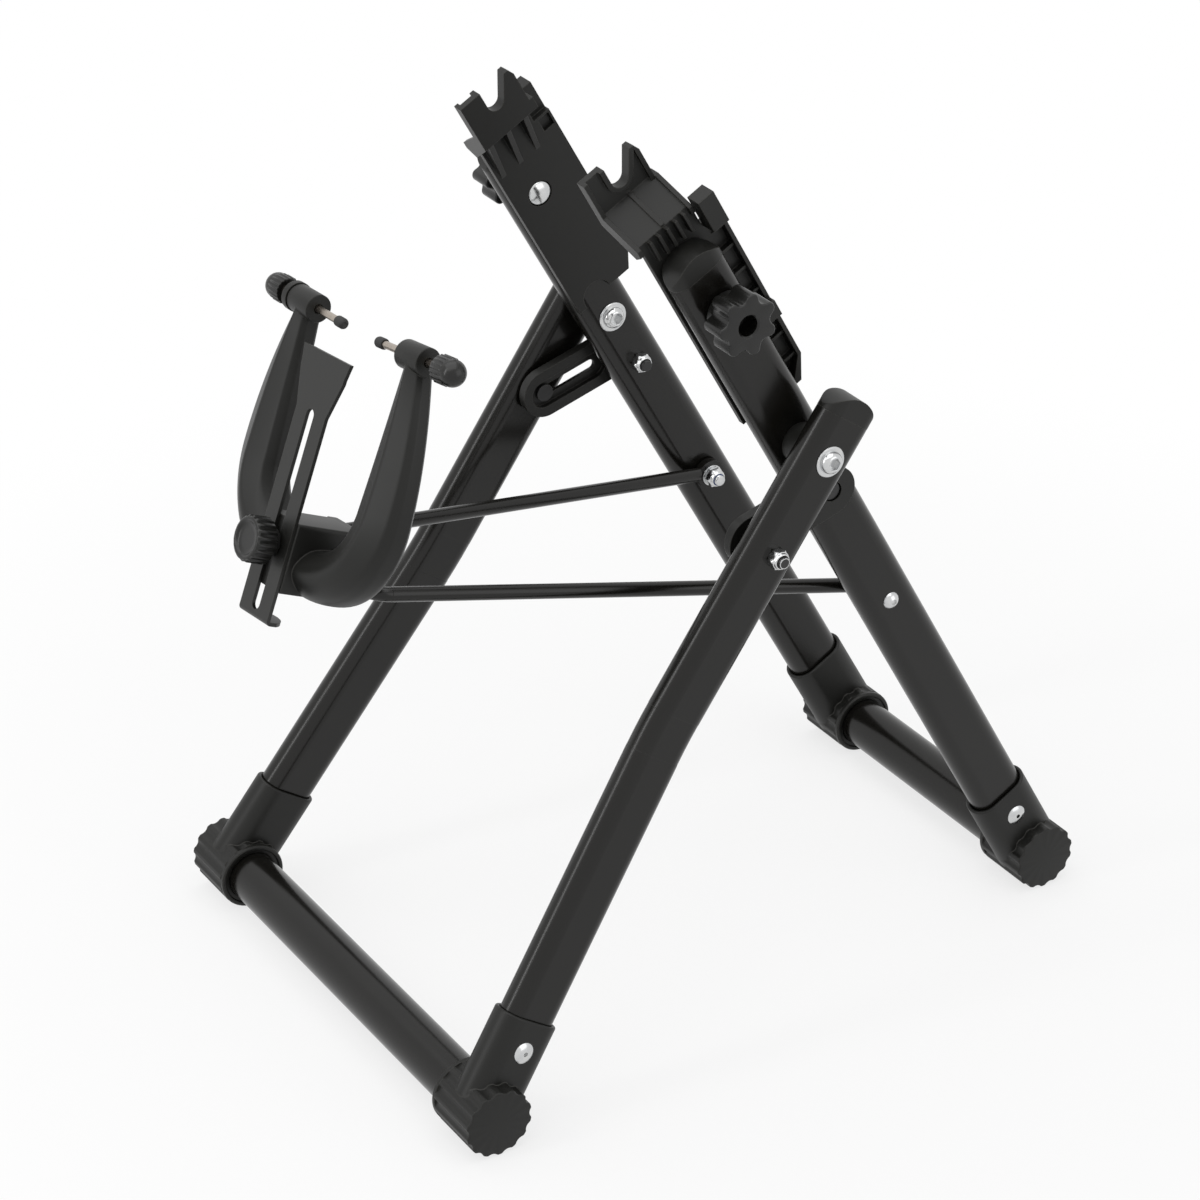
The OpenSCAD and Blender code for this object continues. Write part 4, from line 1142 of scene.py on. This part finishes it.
@dataclass
class StarKnob:
    """Lobed hand knob with a chamfered bore over the end of its bolt."""

    side: Side
    d: float = 34
    lobes: int = 7
    depth: float = 20
    hub_d: float = 24
    hub_h: float = 5
    hole_d: float = 11
    thread_depth: float = 8
    washer_t: float = 1.2
    gap: float = 0.5
    valley_share: float = 1.1
    edge: float = 0.8
    bore_chamfer: float = 0.9
    places_per_lobe: int = 36

    def outline(self) -> np.ndarray:
        """Gives the lobed outline.

        A lobe is the far side of a circle inside the rim and a valley the near side of a circle on
        the rim, both as radii by angle. The outline is the smaller where both exist, softened.
        """
        count = self.lobes * self.places_per_lobe
        step = FULL_TURN / self.lobes
        angle = np.arange(count) * FULL_TURN / count
        from_lobe = (angle + step / 2) % step - step / 2
        from_valley = step / 2 - np.abs(from_lobe)
        lobe_r = self.d * math.pi / (4 * self.lobes)
        centre = self.d / 2 - lobe_r
        lobe_room = lobe_r**2 - (centre * np.sin(from_lobe)) ** 2
        lobe = centre * np.cos(from_lobe) + np.sqrt(np.maximum(lobe_room, 0))
        valley_r = lobe_r * self.valley_share
        valley_room = valley_r**2 - (self.d / 2 * np.sin(from_valley)) ** 2
        valley = self.d / 2 * np.cos(from_valley) - np.sqrt(np.maximum(valley_room, 0))
        radii = np.where(lobe_room > 0, lobe, self.d)
        radii = np.where(valley_room > 0, np.minimum(radii, valley), radii)
        return polar(softened(np.minimum(radii, self.d / 2), 6))

    def build(self) -> None:
        """Builds the knob from its bore, over the face and the lobes, down to the hub."""
        outline = self.outline()
        unit = circle(1.0, len(outline))
        bore, hub_r, chamfer = self.hole_d / 2, self.hub_d / 2, self.bore_chamfer
        inside = [(bore, self.thread_depth), (bore, self.depth - chamfer)]
        inside += [(bore + chamfer, self.depth)]
        over = round_edge(self.edge, 0, self.depth, rising=True)[::-1]
        under = round_edge(self.edge, 0, self.hub_h, rising=False)[::-1]
        lobed = carried(outline, np.concatenate([over, under]))
        hub = [(hub_r, self.hub_h - 0.3), (hub_r, 0.5), (hub_r - 0.5, 0)]
        upper, lower = ([ring(unit, r, z) for r, z in rows] for rows in (inside, hub))
        shell = stacked(np.concatenate([upper, lobed, lower])).along_y()
        base = STANCE.fork_outer + self.washer_t + self.gap
        place = STANCE.on_fork(self.side) @ shift(0, base, STANCE.knob_rise)
        name = f"star_knob_{self.side.word}"
        lay(name + "_moulding", [shell.placed(place)], MOULDED_ABS, name, [name])


@dataclass
class ClampKnob:
    """Round knob in front of the gauge plate, with a ribbed grip and a dished face."""

    d: float = 24.5
    hub_x: float = -41
    hub_d: float = 15
    hub_len: float = 4.5
    grip_len: float = 12
    ribs: int = 20
    rib_d: float = 1.8
    rim: float = 2.4
    dish: float = 1.6
    places_per_rib: int = 16

    def build(self) -> None:
        """Builds the knob: rings whose radius swells at each rib, from the dish back to the hub.

        A rib adds its half width times the cosine of its angle, cut off a little below zero, lifted
        to start at zero and scaled to one, and fades out toward the dished face.
        """
        count = self.ribs * self.places_per_rib
        angle = np.arange(count) * FULL_TURN / count
        swell = np.maximum(np.cos(angle * self.ribs), -0.2) + 0.2
        swell /= swell.max()
        core = self.d / 2 - self.rib_d / 2
        face, back = 0.0, self.grip_len
        dished, hub_r = core - self.rim, self.hub_d / 2
        rows = [
            (0.01, self.dish, 0.0), (dished * 0.6, self.dish, 0.0),
            (dished - 1.2, self.dish * 0.95, 0.0),
            (dished - 0.3, self.dish * 0.55, 0.0), (dished + 0.3, face + 0.15, 0.0),
            (dished + 0.9, face, 0.0), (core - 0.9, face, 0.0), (core - 0.3, face + 0.25, 0.1),
            (core, face + 1.0, 0.4), (core, face + 1.8, 1.0), (core, back - 0.8, 1.0),
            (core - 0.3, back - 0.2, 0.7), (core - 1.2, back, 0.0), (hub_r + 0.8, back, 0.0),
            (hub_r, back + 0.8, 0.0), (hub_r, back + self.hub_len - 0.5, 0.0),
            (hub_r - 0.5, back + self.hub_len, 0.0),
        ]
        table = np.array(rows)
        radii = table[:, :1] + table[:, 2:] * swell[None] * self.rib_d / 2
        flat = circle(1.0, count)[None] * radii[..., None]
        front = self.hub_x - self.hub_len - self.grip_len
        x = np.broadcast_to(front + table[:, 1, None, None], (*flat.shape[:2], 1))
        shell = stacked(np.concatenate([x, flat], axis=-1))
        place = STANCE.on_caliper() @ shift(0, 0, STANCE.stud_rise)
        lay("clamp_knob_moulding", [shell.placed(place)], MOULDED_ABS, "clamp_knob",
            ["clamp_knob"])


@dataclass
class Feeler:
    """One feeler: its rubber tip and its ribbed knob with a domed end."""

    side: Side
    pin_d: float = 4
    gap_half: float = 15.8
    tip_d: float = 5.8
    tip_len: float = 7
    knob_d: float = 15
    knob_start: float = 21
    knob_len: float = 18
    grip_len: float = 9
    ribs: int = 20
    rib_d: float = 1
    places_per_rib: int = 14

    def tip(self) -> Shell:
        """Builds the tip: a sleeve that swells a little and closes in a soft dome."""
        end = self.gap_half - STANCE.boss_y
        r, bore, back = self.tip_d / 2, self.pin_d / 2 + 0.1, end + self.tip_len
        rows = [
            (bore, end + 4), (bore, back), (r - 0.45, back), (r - 0.1, back - 0.3),
            (r, back - 0.9), (r, end + 1.7), (r - 0.25, end + 0.9),
            (r - 0.9, end + 0.3), (r - 1.4, end + 0.12), (r - 1.6, end + 0.3), (0.01, end + 0.35),
        ]
        return turned(rows, 56).along_y()

    def knob(self) -> Shell:
        """Builds the knob: a ribbed skirt, a plain neck and a half sphere.

        A rib swells the radius by its half width times a cosine cut off below zero. The ribs end
        with the grip, and the half sphere closes the far end.
        """
        count = self.ribs * self.places_per_rib
        angle = np.arange(count) * FULL_TURN / count
        swell = np.maximum(np.cos(angle * self.ribs), 0)
        core = (self.knob_d - self.rib_d) / 2
        start, grip = self.knob_start, self.knob_start + self.grip_len
        ball = self.knob_start + self.knob_len - self.knob_d / 2
        bore = self.pin_d / 2 + 0.1
        rows = [
            (bore, grip - 1, 0.0), (bore, start + 0.3, 0.0), (bore + 0.4, start, 0.0),
            (core - 0.7, start, 0.0), (core - 0.1, start + 0.3, 0.6), (core, start + 0.8, 1.0),
            (core, grip - 0.6, 1.0), (core, grip, 0.4), (core, grip + 0.3, 0.0),
        ]
        table = np.array(rows)
        lift = np.linspace(0, math.pi / 2 - 0.04, 14)
        cap = np.stack([core * np.cos(lift), ball + core * np.sin(lift), 0 * lift], axis=-1)
        table = np.concatenate([table, cap])
        radii = table[:, :1] + table[:, 2:] * swell[None] * self.rib_d / 2
        flat = circle(1.0, count)[None] * radii[..., None]
        y = np.broadcast_to(table[:, 1, None, None], (*flat.shape[:2], 1))
        return stacked(np.concatenate([flat[..., :1], y, flat[..., 1:]], axis=-1))

    def build(self) -> None:
        """Builds the tip and the knob and lays them in place of their solids."""
        place, word = STANCE.on_feeler(self.side), self.side.word
        lay(f"feeler_tip_{word}_cap", [self.tip().placed(place)], TIP_RUBBER, f"feeler_{word}",
            [f"feeler_tip_{word}"])
        lay(f"feeler_knob_{word}_moulding", [self.knob().placed(place)], MOULDED_ABS,
            f"feeler_knob_{word}", [f"feeler_knob_{word}"])


@dataclass
class Studio:
    """Camera, lamps, world and floor round the stand."""

    camera_at: Tuple[float, float, float] = (-0.9778, -1.4889, 1.1959)
    pitch: float = 60.71
    heading: float = -32.27
    lens: float = 112.0
    floor_colour: str = "#f6f6f6"
    ambient: float = 0.45
    floor_half: float = 12.0
    floor_level: float = -0.0004
    fibre_mm: float = 1.11
    fibre_depth_mm: float = 0.02
    floor_glow: float = 0.75
    aim_height: float = 0.22
    shadow_reach: Tuple[float, float] = (0.3, 0.75)

    def camera(self) -> None:
        """Makes the camera at the photograph's viewing angle."""
        data = bpy.data.cameras.new("camera")
        data.lens, data.sensor_width = self.lens, 36.0
        data.clip_start, data.clip_end = 0.05, 50.0
        made = bpy.data.objects.new("camera", data)
        made.location = self.camera_at
        made.rotation_euler = (math.radians(self.pitch), 0, math.radians(self.heading))
        bpy.context.scene.collection.objects.link(made)
        bpy.context.scene.camera = made

    def lamp(self, name: str, at: Tuple[float, float, float], size: Tuple[float, float],
             power: float) -> None:
        """Adds a soft rectangular lamp that faces the middle of the stand.

        Args:
            name: Name of the lamp.
            at: Place in metres.
            size: Width and height in metres.
            power: Power in watts.
        """
        data = bpy.data.lights.new(name, "AREA")
        data.shape, data.size, data.size_y, data.energy = "RECTANGLE", size[0], size[1], power
        made = bpy.data.objects.new(name, data)
        made.location = at
        aim = Vector((0, 0, self.aim_height)) - made.location
        made.rotation_euler = aim.to_track_quat("-Z", "Y").to_euler()
        bpy.context.scene.collection.objects.link(made)

    def seen(self, tree: bpy.types.NodeTree) -> bpy.types.NodeSocket:
        """Gives 1 for rays of the camera, of gloss and of glass, and 0 for the light's own."""
        path = node(tree, "ShaderNodeLightPath").outputs
        largest = {"operation": "MAXIMUM"}
        links = {"0": path["Is Glossy Ray"], "1": path["Is Transmission Ray"]}
        gloss = node(tree, "ShaderNodeMath", largest, links)
        links = {"0": path["Is Camera Ray"], "1": gloss.outputs[0]}
        return node(tree, "ShaderNodeMath", largest, links).outputs[0]

    def mixed(
        self,
        tree: bpy.types.NodeTree,
        share: bpy.types.NodeSocket,
        plain: bpy.types.Node,
        seen: bpy.types.Node,
    ) -> bpy.types.NodeSocket:
        """Adds a mix of two shaders, the plain one and by its share the seen one."""
        links = {"0": share, "1": plain.outputs[0], "2": seen.outputs[0]}
        return node(tree, "ShaderNodeMixShader", {}, links).outputs[0]

    def world(self) -> None:
        """Makes the world: a plain grey light, seen as white."""
        world = bpy.data.worlds.new("studio_world")
        world.use_nodes = True
        bpy.context.scene.world = world
        tree = world.node_tree
        tree.nodes.clear()
        light, white = (
            node(tree, "ShaderNodeBackground", {"in:Color": linear(WHITE), "in:Strength": strength})
            for strength in (self.ambient, 1.0)
        )
        surface = self.mixed(tree, self.seen(tree), light, white)
        node(tree, "ShaderNodeOutputWorld", {}, {"Surface": surface})

    def floor(self) -> None:
        """Lays the pale floor, which glows toward the camera and keeps the stand's shadow.

        The glow covers all of the paper far from the stand and leaves the shadow's share near it.
        """
        far, low = self.floor_half, self.floor_level
        corners = [(-far, -far, low), (far, -far, low), (far, far, low), (-far, far, low)]
        mesh = bpy.data.meshes.new("floor")
        mesh.from_pydata(corners, [], [(0, 1, 2, 3)])
        material = bpy.data.materials.new("white_paper_floor")
        material.use_nodes = True
        tree = material.node_tree
        tree.nodes.clear()
        place = node(tree, "ShaderNodeTexCoord").outputs["Object"]
        grain = {"in:Scale": 1 / (self.fibre_mm * MM)}
        fibre = node(tree, "ShaderNodeTexNoise", grain, {"Vector": place})
        depth = {"in:Distance": self.fibre_depth_mm * MM}
        bump = node(tree, "ShaderNodeBump", depth, {"Height": fibre.outputs["Fac"]})
        paper = node(tree, "ShaderNodeBsdfDiffuse", {"in:Color": linear(self.floor_colour)},
                     {"Normal": bump.outputs["Normal"]})
        glow = node(tree, "ShaderNodeEmission", {"in:Color": linear(WHITE)})
        away = node(tree, "ShaderNodeVectorMath", {"operation": "LENGTH"}, {"0": place})
        reach = {
            "interpolation_type": "SMOOTHSTEP", "in:From Min": self.shadow_reach[0],
            "in:From Max": self.shadow_reach[1], "in:To Min": self.floor_glow, "in:To Max": 1.0,
        }
        fade = node(tree, "ShaderNodeMapRange", reach, {"Value": away.outputs["Value"]})
        share = node(tree, "ShaderNodeMath", {"operation": "MULTIPLY"},
                     {"0": self.seen(tree), "1": fade.outputs["Result"]})
        surface = self.mixed(tree, share.outputs[0], paper, glow)
        node(tree, "ShaderNodeOutputMaterial", {}, {"Surface": surface})
        mesh.materials.append(material)
        made = bpy.data.objects.new("floor", mesh)
        bpy.context.scene.collection.objects.link(made)

    def build(self) -> None:
        """Sets up the whole studio."""
        bpy.context.scene.view_settings.view_transform = "Standard"
        self.camera()
        self.world()
        self.floor()
        self.lamp("overhead_softbox", (-0.3, 0.1, 2.0), (2.4, 2.4), 24)
        self.lamp("left_strip", (-2.0, 0.2, 1.2), (0.3, 1.6), 9)
        self.lamp("right_fill", (0.9, -2.2, 1.2), (2.0, 1.8), 10)


def main() -> None:
    """Builds the stand's looks from the frames to the smallest knob, then the studio."""
    logging.basicConfig(level=logging.INFO, format="%(name)s %(message)s")
    SteelFrames().build()
    Feet().build()
    CaliperBody().build()
    ClampKnob().build()
    Hardware().build()
    for side in Side:
        Feeler(side).build()
        BracketWindow(side).build()
        StarKnob(side).build()
    Studio().build()


if __name__ == "__main__":
    main()
